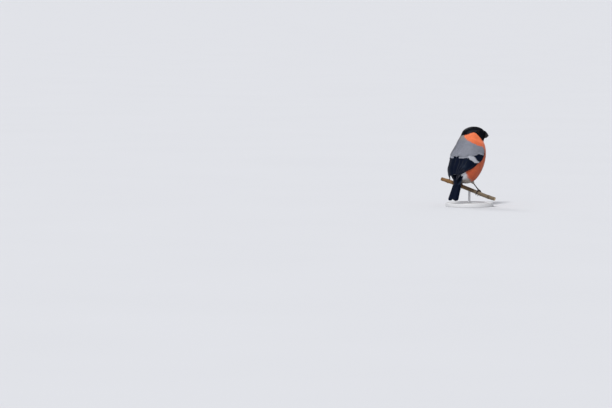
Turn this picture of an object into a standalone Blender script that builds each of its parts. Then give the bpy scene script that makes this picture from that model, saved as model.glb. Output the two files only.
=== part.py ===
"""A male bullfinch at life size, gripping a cut twig that a plain display stand holds up.

Metres, +Z up. The bird faces +X with its left side on +Y, and its head is turned to its right.
The origin is the middle of the stand's foot. Tables of sizes are in millimetres, as MM says.
"""

import math
import random

import bmesh
import bpy
import numpy as np
from mathutils import Matrix, Vector

MM = 0.001
GAP = 0.3 * MM
LEFT, RIGHT = 1, -1
SIDES = {"left": LEFT, "right": RIGHT}

# Body outline, from the tail root to the base of the bill. Each row is one cross-section:
# its dorsal point (x, z), its ventral point (x, z), its half width, and its share of the head's turn.
BODY = np.array([
    (-31.8, 49.5, -21.0, 43.3, 9.5, 0.0),
    (-33.6, 53.5, -15.5, 40.0, 14.0, 0.0),
    (-35.0, 58.5, -7.5, 38.8, 19.0, 0.0),
    (-35.2, 65.5, 3.0, 43.0, 23.3, 0.0),
    (-34.0, 73.0, 13.5, 53.5, 26.0, 0.0),
    (-31.4, 81.0, 21.2, 66.5, 27.4, 0.0),
    (-27.8, 90.0, 25.8, 80.0, 27.4, 0.0),
    (-23.2, 99.0, 27.4, 92.5, 25.2, 0.0),
    (-19.4, 107.5, 26.9, 101.0, 22.2, 0.14),
    (-15.4, 114.3, 25.6, 105.6, 18.6, 0.45),
    (-12.2, 120.2, 25.3, 108.2, 16.2, 0.80),
    (-9.2, 125.8, 25.6, 109.7, 14.9, 1.0),
    (-3.6, 129.9, 25.8, 110.6, 14.0, 1.0),
    (4.5, 132.4, 26.0, 111.2, 13.3, 1.0),
    (14.0, 132.2, 26.1, 111.7, 11.9, 1.0),
    (21.8, 129.4, 26.2, 112.2, 9.0, 1.0),
    (26.0, 125.9, 26.2, 112.8, 5.0, 1.0),
])
HEAD_TURN = math.radians(-35)
NECK_AXIS_X = 4.5 * MM
ROUNDNESS = 2.15
# How far outside the body's skin, in mm, the tail and thighs stop.
BODY_CLEARANCE = 0.32
TORSO_TOP = (Vector((3.5, 0, 104.6)), Vector((0.12, 0, 0.993)))
HEAD_BASE = (Vector((4.5, 0, 115.0)), Vector((0.24, -0.14, 0.96)))

# Eyes, placed in the head before it turns.
EYE_RADIUS = 3.0 * MM
EYE_FORWARD, EYE_HEIGHT, EYE_APART = 13.4 * MM, 124.2 * MM, 10.6 * MM
LID_RING, LID_THICK, LID_LIFT = 2.97 * MM, 0.5 * MM, 2.15 * MM

# Bill, before the head turns: distance from its base, culmen height, half width, lower edge height.
BILL_BASE_X = 26.5
BILL_GAPE = (118.8, 117.3)
BILL_TOP = (125.4, 124.5, 123.1, 121.4, 119.4, 117.0)
BILL_WIDE = (4.6, 4.4, 3.9, 3.1, 2.0, 0.4)
BILL_FOOT = (113.3, 113.2, 113.6, 114.4, 115.6, 117.0)
BILL_LONG = 7.8
LOWER_SHARE = 0.92
BILL_HOOK = 0.4

# Wings: the surface that the folded wing lies on follows the body, and stands off it over the rump.
# Each row is: dorsal point (x, z), half width, for places from 1 past the tail root up to place 3.
WING_REAR = np.array([
    (-36.6, 42.0, 13.5),
    (-37.0, 48.5, 15.5),
    (-37.2, 54.5, 18.0),
    (-37.2, 60.0, 21.0),
    (-36.4, 66.5, 24.4),
])
WING_TOP_EDGE = (8, 5, 3, 2, 2, 2, 3, 8, 18, 34)
WING_LOW_EDGE = {
    LEFT: (43, 43, 45, 49, 57, 72, 90, 104, 106, 88),
    RIGHT: (18, 23, 31, 41, 54, 72, 90, 104, 106, 88),
}
WING_FLOOR = 0.75 * MM
# How deep the wing is tucked into the body, from the same places on.
WING_TUCK = (0, 0, 0, 0, 0, 0.5, 1.3, 2.1, 2.5, 2.6)

TAIL_ROOT = Vector((-26.6, 0, 47.6)) * MM
TAIL_LEAN = math.radians(22.4)
TAIL_LONG = 39.6 * MM

# Twig: it slopes down to the bird's right, and the feet stand on it at these distances from its middle.
TWIG_RADIUS = 3.3 * MM
TWIG_MIDDLE = Vector((0, 0, 28.1)) * MM
TWIG_ALONG = Vector((-8.8, 34.4, 11.7)).normalized()
TWIG_REACH = {LEFT: 55 * MM, RIGHT: 50 * MM}
FOOT_PLACE = {LEFT: 19.4 * MM, RIGHT: -17.0 * MM}
ANKLE = {
    LEFT: Vector((-12.5, 13.2, 50.5)) * MM,
    RIGHT: Vector((-5.0, -11.2, 41.5)) * MM,
}
# How far above its sole each bare shank goes into the feathers.
SLEEVE_END = {LEFT: 4.4 * MM, RIGHT: 14.6 * MM}

BASE_RADIUS = 40 * MM
BASE_THICK = 6 * MM
ROD_RADIUS = 2.0 * MM


def clear_scene():
    for thing in list(bpy.data.objects):
        bpy.data.objects.remove(thing)


def rows_at(rows, place):
    """Smooth row of values at a place in an evenly spaced table; ends run on in a straight line."""
    rows = np.asarray(rows, float)
    last = len(rows) - 1
    if place <= 0:
        return rows[0] + (rows[1] - rows[0]) * place
    if place >= last:
        return rows[last] + (rows[last] - rows[last - 1]) * (place - last)
    low = int(place)
    share = place - low
    here, ahead = rows[low], rows[low + 1]
    behind = rows[low - 1] if low > 0 else 2 * here - ahead
    beyond = rows[low + 2] if low + 2 <= last else 2 * ahead - here
    slope_in, slope_out = (ahead - behind) / 2, (beyond - here) / 2
    square, cube = share * share, share * share * share
    return (
        here * (2 * cube - 3 * square + 1)
        + slope_in * (cube - 2 * square + share)
        + ahead * (3 * square - 2 * cube)
        + slope_out * (cube - square)
    )


def turned(point, share=1.0):
    """A point of the straight-necked bird, carried round by the head's turn."""
    turn = Matrix.Rotation(HEAD_TURN * share, 3, "Z")
    axis = Vector((NECK_AXIS_X, 0, 0))
    return axis + turn @ (point - axis)


def section_point(row, angle):
    """Point on a cross-section; angle 0 is the back, and plus angles are on the bird's left."""
    dorsal = Vector((row[0], 0, row[1])) * MM
    ventral = Vector((row[2], 0, row[3])) * MM
    half = (dorsal - ventral) / 2
    c, s = math.cos(angle), math.sin(angle)
    power = 2 / ROUNDNESS
    along = math.copysign(abs(c) ** power, c)
    across = math.copysign(abs(s) ** power, s)
    point = (dorsal + ventral) / 2 + half * along + Vector((0, row[4] * MM * across, 0))
    return turned(point, row[5])


def body_point(place, angle):
    return section_point(rows_at(BODY, place), angle)


def wing_row(place):
    """Cross-section of the surface under the wings: the body's own, but fuller over the rump."""
    row = rows_at(BODY, place).copy()
    if place < 4:
        full = rows_at(WING_REAR, min(place, 3.0) + 1)
        blend = min(max(4 - place, 0), 1)
        row[0] += (full[0] - row[0]) * blend
        row[1] += (full[1] - row[1]) * blend
        row[4] += (full[2] - row[4]) * blend
    row[5] = 0
    return row


def wing_angle(side, place, across):
    top = rows_at(np.array(WING_TOP_EDGE, float), place + 1)
    low = rows_at(np.array(WING_LOW_EDGE[side], float), place + 1)
    return side * math.radians(top + (low - top) * across)


def wing_frame(side, place, across):
    """Point on the wing's bed and its outward normal."""
    step = 0.02
    here = section_point(wing_row(place), wing_angle(side, place, across))
    ahead = section_point(wing_row(place + step), wing_angle(side, place + step, across))
    beside = section_point(wing_row(place), wing_angle(side, place, across + step))
    normal = (ahead - here).cross(beside - here).normalized() * side
    if normal.dot(here - Vector((-5, 0, here.z / MM)) * MM) < 0:
        normal = -normal
    return here, normal


def wing_point(side, place, across, lift):
    here, normal = wing_frame(side, place, across)
    return here + normal * (wing_floor(place) + lift)


def wing_floor(place):
    """Height of the wing's inner face over the untucked body."""
    return WING_FLOOR - float(rows_at(np.array(WING_TUCK, float), place + 1)) * MM


def mesh_object(name, mesh_or_bm):
    mesh = bpy.data.meshes.new(name)
    mesh_or_bm.to_mesh(mesh)
    mesh_or_bm.free()
    thing = bpy.data.objects.new(name, mesh)
    bpy.context.scene.collection.objects.link(thing)
    return thing


def face_out(bm):
    """Recalculates normals, then makes sure that they point out of the solid."""
    bmesh.ops.recalc_face_normals(bm, faces=bm.faces[:])
    if bm.calc_volume(signed=True) < 0:
        bmesh.ops.reverse_faces(bm, faces=bm.faces[:])


def ring_solid(name, rings, alike=False):
    """Closed solid through rings of points. alike splits each side quad the same way on both faces."""
    bm = bmesh.new()
    loops = [[bm.verts.new(point) for point in ring] for ring in rings]
    count = len(rings[0])
    for near, far in zip(loops, loops[1:]):
        for index in range(count):
            after = (index + 1) % count
            quad = (near[index], near[after], far[after], far[index])
            if not alike:
                bm.faces.new(quad)
            elif index < count // 2:
                bm.faces.new((quad[0], quad[1], quad[2]))
                bm.faces.new((quad[0], quad[2], quad[3]))
            else:
                bm.faces.new((quad[0], quad[1], quad[3]))
                bm.faces.new((quad[1], quad[2], quad[3]))
    bm.faces.new(loops[0])
    bm.faces.new(loops[-1])
    face_out(bm)
    return mesh_object(name, bm)


def tube(name, centres, radii, sides, up=Vector((0, 0, 1))):
    """Round solid along a line of centres, with a radius at each."""
    rings = []
    for index, centre in enumerate(centres):
        before = centres[max(index - 1, 0)]
        after = centres[min(index + 1, len(centres) - 1)]
        ahead = (after - before).normalized()
        across = ahead.cross(up).normalized()
        over = across.cross(ahead).normalized()
        ring = []
        for step in range(sides):
            angle = 2 * math.pi * step / sides
            spread = across * math.cos(angle) + over * math.sin(angle)
            ring.append(centre + spread * radii[index])
        rings.append(ring)
    return ring_solid(name, rings)


def apply_modifiers(thing):
    bpy.context.view_layer.update()
    graph = bpy.context.evaluated_depsgraph_get()
    mesh = bpy.data.meshes.new_from_object(thing.evaluated_get(graph))
    thing.modifiers.clear()
    thing.data = mesh


def keep_largest(thing):
    """Leaves only the node's largest closed surface."""
    bm = bmesh.new()
    bm.from_mesh(thing.data)
    left, islands = set(bm.faces), []
    while left:
        front = [left.pop()]
        island = list(front)
        while front:
            face = front.pop()
            for edge in face.edges:
                for other in edge.link_faces:
                    if other in left:
                        left.remove(other)
                        front.append(other)
                        island.append(other)
        islands.append(island)
    islands.sort(key=lambda faces: sum(face.calc_area() for face in faces))
    scraps = [face for island in islands[:-1] for face in island]
    bmesh.ops.delete(bm, geom=scraps, context="FACES")
    bm.to_mesh(thing.data)
    bm.free()


def joined(base, pieces):
    """Fuses pieces into base with one Boolean union."""
    group = bpy.data.collections.new(base.name + "_pieces")
    for piece in pieces:
        for owner in list(piece.users_collection):
            owner.objects.unlink(piece)
        group.objects.link(piece)
    fuse = base.modifiers.new("fuse", "BOOLEAN")
    fuse.operation = "UNION"
    fuse.solver = "EXACT"
    fuse.operand_type = "COLLECTION"
    fuse.collection = group
    apply_modifiers(base)
    for piece in list(group.objects):
        bpy.data.objects.remove(piece)
    bpy.data.collections.remove(group)
    keep_largest(base)
    return base


def cut(base, cutter):
    """Takes cutter out of base, and removes the cutter."""
    bite = base.modifiers.new("cut", "BOOLEAN")
    bite.operation = "DIFFERENCE"
    bite.solver = "EXACT"
    bite.object = cutter
    apply_modifiers(base)
    bpy.data.objects.remove(cutter)
    keep_largest(base)
    return base


def kept_side(thing, point, normal, above):
    """Cuts a closed solid by a plane, keeps one side and closes it flat."""
    bm = bmesh.new()
    bm.from_mesh(thing.data)
    everything = bm.verts[:] + bm.edges[:] + bm.faces[:]
    made = bmesh.ops.bisect_plane(
        bm, geom=everything, dist=1e-7, plane_co=point, plane_no=normal,
        clear_inner=above, clear_outer=not above,
    )
    rim = [item for item in made["geom_cut"] if isinstance(item, bmesh.types.BMEdge)]
    bmesh.ops.holes_fill(bm, edges=rim)
    face_out(bm)
    bm.to_mesh(thing.data)
    bm.free()
    return thing


def body_rings(low, high, step, sides, grow=0.0):
    rings = []
    for index in range(int(round((high - low) / step)) + 1):
        row = rows_at(BODY, low + index * step).copy()
        middle = (row[:2] + row[2:4]) / 2
        half = (row[:2] - row[2:4]) / 2
        scale = 1 + grow / np.hypot(*half)
        row[:2], row[2:4] = middle + half * scale, middle - half * scale
        row[4] += grow
        if index == 0:
            outward = np.array([-half[1], half[0]]) / np.hypot(*half) * grow
            row[:4] += np.tile(outward, 2)
        rings.append([section_point(row, 2 * math.pi * k / sides) for k in range(sides)])
    return rings


def whole_body(name, grow=0.0, step=0.5, sides=32):
    return ring_solid(name, body_rings(0, len(BODY) - 1, step, sides, grow))


def make_torso():
    point, normal = TORSO_TOP
    torso = whole_body("torso")
    kept_side(torso, point * MM, normal, above=False)
    for side in SIDES.values():
        cut(torso, wing_recess(side, BODY_CLEARANCE + 0.05))
    return torso


def make_neck():
    low, low_normal = TORSO_TOP
    high, high_normal = HEAD_BASE
    neck = whole_body("neck", step=0.5)
    kept_side(neck, low * MM + low_normal.normalized() * GAP, low_normal, above=True)
    return kept_side(neck, high * MM, high_normal, above=False)


def eye_centre(side):
    return turned(Vector((EYE_FORWARD, side * EYE_APART, EYE_HEIGHT)))


def eye_axis(side):
    turn = Matrix.Rotation(HEAD_TURN, 3, "Z")
    return (turn @ Vector((0.16, side, 0.26))).normalized()


def ball(name, centre, radius, rows=10, sides=16):
    bm = bmesh.new()
    bmesh.ops.create_uvsphere(bm, u_segments=sides, v_segments=rows, radius=radius)
    bmesh.ops.translate(bm, verts=bm.verts[:], vec=centre)
    return mesh_object(name, bm)


def lid_ring(side):
    """Rim of bare skin that frames the eye."""
    middle = eye_centre(side) + eye_axis(side) * LID_LIFT
    turn = eye_axis(side).to_track_quat("Z", "Y").to_matrix()
    rings_round, sides = 18, 6
    bm = bmesh.new()
    loops = []
    for index in range(rings_round):
        angle = 2 * math.pi * index / rings_round
        outward = turn @ Vector((math.cos(angle), math.sin(angle), 0))
        loop = []
        for step in range(sides):
            tilt = 2 * math.pi * step / sides
            spread = outward * math.cos(tilt) + eye_axis(side) * math.sin(tilt)
            loop.append(bm.verts.new(middle + outward * LID_RING + spread * LID_THICK))
        loops.append(loop)
    for index, near in enumerate(loops):
        far = loops[(index + 1) % rings_round]
        for step in range(sides):
            after = (step + 1) % sides
            bm.faces.new((near[step], near[after], far[after], far[step]))
    face_out(bm)
    return mesh_object("lid_ring", bm)


def make_head():
    point, normal = HEAD_BASE
    head = whole_body("head", step=0.5)
    kept_side(head, point * MM + normal.normalized() * GAP, normal, above=True)
    for side in SIDES.values():
        cut(head, ball("socket", eye_centre(side), EYE_RADIUS + GAP))
    joined(head, [lid_ring(side) for side in SIDES.values()])
    for name, side in SIDES.items():
        ball("eye_" + name, eye_centre(side), EYE_RADIUS)


def bill_half(name, upper):
    """One half of the bill: a round-backed wedge with a flat cutting edge."""
    steps, sides = 8, 9
    share_end = 1.0 if upper else LOWER_SHARE
    rings = []
    for index in range(steps + 1):
        share = share_end * index / steps
        place = share * (len(BILL_TOP) - 1)
        gape = BILL_GAPE[0] + (BILL_GAPE[1] - BILL_GAPE[0]) * share
        edge = gape + (0.15 if upper else -0.15)
        crown = float(rows_at(BILL_TOP if upper else BILL_FOOT, place))
        wide = float(rows_at(BILL_WIDE, place)) * (1.0 if upper else 0.93)
        if upper:
            edge -= BILL_HOOK * max(share - 0.88, 0) / 0.12
        else:
            crown = min(crown, edge - 0.25)
        ring = []
        for step in range(sides):
            angle = math.pi * step / (sides - 1)
            rise = abs(math.sin(angle)) ** 0.85
            across = math.cos(angle) * wide
            point = Vector((BILL_BASE_X + BILL_LONG * share, across, edge + (crown - edge) * rise))
            ring.append(turned(point * MM))
        rings.append(ring)
    return ring_solid(name, rings)


def make_bill():
    upper = bill_half("bill_upper", upper=True)
    for side in SIDES.values():
        hole = turned(Vector((BILL_BASE_X + 1.3, side * 3.1, 122.0)) * MM)
        cut(upper, ball("nostril", hole, 0.6 * MM, rows=5, sides=8))
    bill_half("bill_lower", upper=False)


# Share of a feather's length, and its width there as a share of the whole.
VANE_SHAPE = ((0, 0.5), (0.3, 0.88), (0.62, 1.0), (0.86, 0.84), (1.0, 0.3))
NARROW_VANE = ((0, 0.5), (0.3, 0.8), (0.62, 0.9), (0.86, 0.68), (1.0, 0.22))
TAIL_VANE = ((0, 0.55), (0.35, 0.85), (0.75, 1.0), (0.94, 0.88), (1.0, 0.5))
SHORT_VANE = ((0, 0.6), (0.45, 1.0), (0.82, 0.85), (1.0, 0.35))


def vane(name, centres, normals, width, thick, roll=0.0, shape=VANE_SHAPE):
    """One feather as a flat blade of four sides; roll tips it so that it overlaps its neighbour."""
    rings = []
    last = len(centres) - 1
    for index, (centre, normal) in enumerate(zip(centres, normals)):
        ahead = (centres[min(index + 1, last)] - centres[max(index - 1, 0)]).normalized()
        normal = (Matrix.Rotation(roll, 3, ahead) @ normal).normalized()
        side = ahead.cross(normal).normalized() * width / 2 * shape[index][1]
        half = normal * thick / 2 * (1.0 if index < last else 0.7)
        rings.append([centre - side + half, centre + side + half, centre + side - half, centre - side - half])
    return ring_solid(name, rings, alike=True)


def wing_vane(side, root, tip, lifts, width, thick, roll, shape=VANE_SHAPE, bow=0.0):
    """A feather on the wing's bed, from root to tip, each a (place, across) pair."""
    centres, normals = [], []
    for share, _ in shape:
        place = root[0] + (tip[0] - root[0]) * share
        across = root[1] + (tip[1] - root[1]) * share + bow * math.sin(math.pi * share)
        lift = lifts[0] + (lifts[1] - lifts[0]) * share
        here, normal = wing_frame(side, place, across)
        centres.append(here + normal * (wing_floor(place) + lift * MM))
        normals.append(normal)
    return vane("vane", centres, normals, width * MM, thick * MM, roll * side, shape)


# Each tier of a wing: how many feathers, first and last root, first and last tip as (place, across),
# lift over the bed at root and tip, first and last width, thickness, shape.
WING_TIERS = {
    "primaries": (
        6, ((5.0, 0.80), (5.6, 0.93)), ((1.5, 0.78), (-0.55, 0.95)),
        (1.0, 0.9), (6.6, 6.0), 0.7, NARROW_VANE,
    ),
    "secondaries": (
        5, ((5.0, 0.42), (5.2, 0.80)), ((2.4, 0.42), (1.8, 0.80)),
        (1.5, 1.5), (8.5, 7.5), 0.7, VANE_SHAPE,
    ),
    "tertials": (
        3, ((5.3, 0.05), (5.3, 0.34)), ((2.5, 0.08), (1.8, 0.38)),
        (2.1, 2.2), (9.0, 9.0), 0.8, VANE_SHAPE,
    ),
    "primary_coverts": (
        3, ((6.5, 0.86), (6.6, 0.94)), ((4.5, 0.84), (4.9, 0.93)),
        (1.7, 1.5), (6.0, 5.0), 0.7, SHORT_VANE,
    ),
    "greater_coverts": (
        6, ((6.2, 0.16), (6.4, 0.88)), ((4.5, 0.16), (5.0, 0.87)),
        (2.2, 2.6), (9.0, 7.5), 0.7, SHORT_VANE,
    ),
    "median_coverts": (
        5, ((6.9, 0.22), (7.0, 0.86)), ((5.6, 0.22), (6.0, 0.85)),
        (2.5, 3.1), (9.0, 8.0), 0.7, SHORT_VANE,
    ),
    "scapulars": (
        3, ((7.0, 0.07), (7.0, 0.36)), ((4.6, 0.10), (5.0, 0.38)),
        (2.9, 3.3), (11.0, 10.0), 0.8, SHORT_VANE,
    ),
}
WING_SEED = {LEFT: 41, RIGHT: 42}
CORE_PLACES = (7.5, 7.3, 6.9, 6.35, 5.8, 5.2, 4.6, 4.0, 3.4, 2.8)
CORE_THICK = (0.5, 1.7, 2.4, 2.5, 2.3, 2.1, 1.8, 1.5, 1.2, 0.8)
CORE_EDGES = ((0.22, 0.78), (0.08, 0.95), (0.03, 0.98), (0.03, 0.97), (0.04, 0.96), (0.05, 0.94),
              (0.07, 0.92), (0.10, 0.88), (0.15, 0.82), (0.24, 0.74))


def wing_core(name, side):
    """Smooth lens under the feathers: the arm with its small coverts."""
    columns = 7
    rings = []
    for place, thick, (top, low) in zip(CORE_PLACES, CORE_THICK, CORE_EDGES):
        outer, inner = [], []
        for step in range(columns):
            share = step / (columns - 1)
            across = top + (low - top) * share
            bulge = (1 - (2 * share - 1) ** 4) * (thick - 0.5) + 0.5
            outer.append(wing_point(side, place, across, bulge * MM))
            inner.append(wing_point(side, place, across, 0))
        rings.append(outer + inner[::-1])
    return ring_solid(name, rings, alike=True)


def wing_recess(side, room):
    """Space in the side of the body for the tucked wing, with this much room round it in mm."""
    columns = 7
    rings = []
    places = (CORE_PLACES[0] + 0.04 + 0.12 * room,) + CORE_PLACES
    for place, (top, low) in zip(places, CORE_EDGES[:1] + CORE_EDGES):
        outer, inner = [], []
        start, end = top - 0.04 * room, low + 0.02 + 0.04 * room
        for step in range(columns):
            across = start + (end - start) * step / (columns - 1)
            outer.append(wing_point(side, place, across, 6 * MM))
            inner.append(wing_point(side, place, across, -room * MM))
        rings.append(outer + inner[::-1])
    return ring_solid("recess", rings, alike=True)


def wing_bed(side):
    """The recessed body, grown by a clearance, which feathers may not reach into."""
    bed = whole_body("bed", grow=BODY_CLEARANCE)
    return cut(bed, wing_recess(side, 0.03))


def make_wing(name, side):
    chance = random.Random(WING_SEED[side])
    core = wing_core("wing_" + name, side)
    pieces = []
    for tier, (count, roots, tips, lifts, widths, thick, shape) in WING_TIERS.items():
        for index in range(count):
            share = index / (count - 1)
            root = [a + (b - a) * share for a, b in zip(*roots)]
            tip = [a + (b - a) * share for a, b in zip(*tips)]
            tip[0] += chance.uniform(-0.06, 0.06)
            stack = 0.16 * (1 - share) if tier in ("primaries", "secondaries", "tertials") else 0
            lift = (lifts[0] + stack, lifts[1] + stack)
            width = widths[0] + (widths[1] - widths[0]) * share
            bow = 0.05 if tier == "tertials" else 0.0
            pieces.append(wing_vane(side, root, tip, lift, width, thick, math.radians(4), shape, bow))
    joined(core, pieces)
    return cut(core, wing_bed(side))


def make_tail():
    """Twelve tail feathers under a tier of coverts, and white coverts below them."""
    chance = random.Random(7)
    ahead = Vector((-math.sin(TAIL_LEAN), 0, -math.cos(TAIL_LEAN)))
    over = Vector((-math.cos(TAIL_LEAN), 0, math.sin(TAIL_LEAN)))
    left = Vector((0, 1, 0))

    def spot(along, across, lift):
        return TAIL_ROOT + ahead * along + left * across + over * lift

    rear = rows_at(BODY, 0)
    cap = (Vector((rear[2] - rear[0], 0, rear[3] - rear[1]))).normalized()
    cap_out = Vector((cap.z, 0, -cap.x))
    rings = []
    for share, grow, depth in ((0.0, 0.88, 0.0), (0.35, 0.80, 4.0), (0.7, 0.62, 9.0), (1.0, 0.36, 14.0)):
        ring = []
        for step in range(16):
            point = section_point(rear, 2 * math.pi * step / 16)
            middle = Vector(((rear[0] + rear[2]) / 2, 0, (rear[1] + rear[3]) / 2)) * MM
            flat = middle + (point - middle) * grow
            flat += cap_out * GAP * 1.2 + (ahead * depth) * MM
            lean = (flat - TAIL_ROOT).dot(over)
            flat -= over * lean * 0.55 * share
            ring.append(flat)
        rings.append(ring)
    tail = ring_solid("tail", rings)
    pieces = []
    for index in range(6):
        for side in (LEFT, RIGHT):
            spread = (index + 0.45) / 5.5
            root = (2.5 + 0.4 * index, side * (1.2 + 4.2 * spread))
            tip_along = TAIL_LONG / MM - 2.4 * (1 - spread) ** 2 - 0.8 * spread ** 4
            tip_along += chance.uniform(-0.3, 0.3)
            tip_across = side * (2.7 + 5.2 * spread)
            lift = 1.3 - 0.42 * index + (0.16 if side == LEFT else 0)
            centres, normals = [], []
            for share, _ in TAIL_VANE:
                along = root[0] + (tip_along - root[0]) * share
                across = root[1] + (tip_across - root[1]) * share
                arch = -0.0105 * across ** 2
                centres.append(spot(along * MM, across * MM, (lift * (1 - 0.35 * share) + arch) * MM))
                normals.append(over)
            roll = -side * math.radians(3)
            pieces.append(vane("rectrix", centres, normals, 8.2 * MM, 0.6 * MM, roll, TAIL_VANE))
    for lift, drop, count, reach in ((3.0, -0.09, 6, 14.0), (-3.4, 0.10, 6, 17.0)):
        for index in range(count):
            share = index / (count - 1) * 2 - 1
            length = reach - 3.5 * abs(share) + chance.uniform(-0.5, 0.5)
            centres, normals = [], []
            for part, _ in SHORT_VANE:
                along = 1.2 + length * part
                across = share * (6.4 + 1.2 * part)
                height = lift * (1 - 0.5 * part) + drop * share * share * 8
                centres.append(spot(along * MM, across * MM, height * MM))
                normals.append(over if lift > 0 else -over)
            pieces.append(vane("covert", centres, normals, 6.0 * MM, 0.7 * MM, 0.0, SHORT_VANE))
    joined(tail, pieces)
    return cut(tail, whole_body("clearance", grow=BODY_CLEARANCE))


def twig_axes():
    up = (Vector((0, 0, 1)) - TWIG_ALONG * TWIG_ALONG.z).normalized()
    return TWIG_ALONG, up, TWIG_ALONG.cross(up)


def round_twig(side, angle, shift, rise):
    """Point beside the twig under one foot: angle 0 is its top, and plus angles go forward."""
    along, up, forward = twig_axes()
    centre = TWIG_MIDDLE + along * (FOOT_PLACE[side] + shift)
    return centre + (up * math.cos(angle) + forward * math.sin(angle)) * (TWIG_RADIUS + rise)


# Toes: start and end angle round the twig, sideways start and end (plus is outward), claw sweep.
TOES = {
    "inner": (5, 116, -1.0, -3.3, 42),
    "middle": (4, 150, 0.0, 0.4, 42),
    "outer": (5, 122, 1.0, 3.6, 42),
    "hind": (-4, -98, 0.0, -0.8, 54),
}
TOE_RADIUS = 1.05 * MM
TOE_RISE = TOE_RADIUS + GAP + 0.1 * MM


def toe(side, start, end, near, far, claw):
    centres, radii = [], []
    steps = 7
    for index in range(steps):
        share = index / (steps - 1)
        angle = math.radians(start + (end - start) * share)
        pad = 0.08 if index % 2 else -0.04
        centres.append(round_twig(side, angle, side * (near + (far - near) * share) * MM, TOE_RISE))
        radii.append(TOE_RADIUS * (1.05 - 0.28 * share + pad))
    finger = tube("toe", centres, radii, 8, up=TWIG_ALONG)
    centres, radii = [], []
    steps = 5
    for index in range(steps):
        share = index / (steps - 1)
        sweep = math.copysign(claw, end) * share
        angle = math.radians(end + sweep - math.copysign(8, end))
        rise = TOE_RISE + (0.25 + 1.9 * share * share) * MM
        centres.append(round_twig(side, angle, side * far * MM, rise))
        radii.append((0.72 * (1 - share) ** 0.7 + 0.14) * MM)
    return [finger, tube("claw", centres, radii, 6, up=TWIG_ALONG)]


def make_leg(name, side):
    """Feathered thigh, bare shank, and a foot whose toes go round the twig."""
    ankle = ANKLE[side]
    sole = round_twig(side, 0, 0, TOE_RISE)
    shank_way = (sole - ankle).normalized()
    foot_top = sole - shank_way * 1.6 * MM
    pad_centres = [foot_top, sole - shank_way * 0.6 * MM, sole + shank_way * 0.5 * MM]
    foot = tube("foot_" + name, pad_centres, [1.25 * MM, 1.55 * MM, 1.2 * MM], 10, up=TWIG_ALONG)
    joined(foot, [piece for sizes in TOES.values() for piece in toe(side, *sizes)])

    thigh_low = sole - shank_way * SLEEVE_END[side]
    shank_start = thigh_low + shank_way * GAP
    centres, radii = [], []
    for share, radius in ((0, 1.25), (0.12, 1.15), (0.35, 0.95), (0.7, 0.95), (0.9, 1.15), (1.0, 1.2)):
        centres.append(shank_start + (foot_top - shank_way * GAP - shank_start) * share)
        radii.append(radius * MM)
    tube("shank_" + name, centres, radii, 12, up=TWIG_ALONG)

    centres = [thigh_low - shank_way * rise * MM for rise in (0, 1.2, 3.5, 7.0, 12.0)]
    radii = [radius * MM for radius in (1.5, 2.1, 3.1, 4.6, 6.0)]
    thigh = tube("thigh_" + name, centres, radii, 14, up=TWIG_ALONG)
    cut(thigh, whole_body("clearance", grow=BODY_CLEARANCE))


def make_twig():
    """Cut length of twig with a slow bend, and a swelling where a bud once stood."""
    along, up, forward = twig_axes()
    count = 15
    centres, radii = [], []
    for index in range(count):
        share = index / (count - 1)
        place = -TWIG_REACH[RIGHT] + (TWIG_REACH[LEFT] + TWIG_REACH[RIGHT]) * share
        bend = max(abs(place) - 26 * MM, 0) ** 2 * 3.0
        centres.append(TWIG_MIDDLE + along * place + up * bend * (0.6 if place < 0 else -0.5))
        knot = 0.55 * math.exp(-((place / MM - 42) / 3.5) ** 2)
        radii.append(TWIG_RADIUS + (knot - 0.004 * abs(place / MM)) * MM)
    tube("perch", centres, radii, 16, up=up)


def make_stand():
    bm = bmesh.new()
    bmesh.ops.create_cone(bm, cap_ends=True, segments=48, radius1=BASE_RADIUS, radius2=BASE_RADIUS,
                          depth=BASE_THICK)
    bmesh.ops.translate(bm, verts=bm.verts[:], vec=(0, 0, BASE_THICK / 2))
    rim = [edge for edge in bm.edges if all(v.co.z > BASE_THICK * 0.9 for v in edge.verts)]
    bmesh.ops.bevel(bm, geom=rim, offset=1.2 * MM, segments=2, profile=0.5, affect="EDGES")
    mesh_object("stand_base", bm)

    top = TWIG_MIDDLE.z
    bm = bmesh.new()
    bmesh.ops.create_cone(bm, cap_ends=True, segments=20, radius1=ROD_RADIUS, radius2=ROD_RADIUS,
                          depth=top - BASE_THICK - GAP)
    bmesh.ops.translate(bm, verts=bm.verts[:], vec=(0, 0, (top + BASE_THICK + GAP) / 2))
    rod = mesh_object("stand_rod", bm)
    reach = [TWIG_MIDDLE + TWIG_ALONG * side * 20 * MM for side in (RIGHT, LEFT)]
    cut(rod, tube("saddle", reach, [TWIG_RADIUS + GAP] * 2, 24))


# Colour, roughness and metallic value of each node's material, by the start of its name.
FINISHES = {
    "torso": ((0.80, 0.20, 0.07), 0.75, 0.0),
    "neck": ((0.85, 0.21, 0.08), 0.75, 0.0),
    "head": ((0.012, 0.012, 0.018), 0.45, 0.0),
    "bill": ((0.015, 0.015, 0.017), 0.35, 0.0),
    "eye": ((0.01, 0.007, 0.006), 0.08, 0.0),
    "wing": ((0.010, 0.014, 0.032), 0.4, 0.0),
    "tail": ((0.010, 0.014, 0.034), 0.35, 0.0),
    "thigh": ((0.62, 0.60, 0.58), 0.8, 0.0),
    "shank": ((0.06, 0.04, 0.035), 0.5, 0.0),
    "foot": ((0.06, 0.04, 0.035), 0.5, 0.0),
    "perch": ((0.22, 0.14, 0.06), 0.8, 0.0),
    "stand": ((0.62, 0.62, 0.62), 0.5, 0.0),
}


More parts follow.
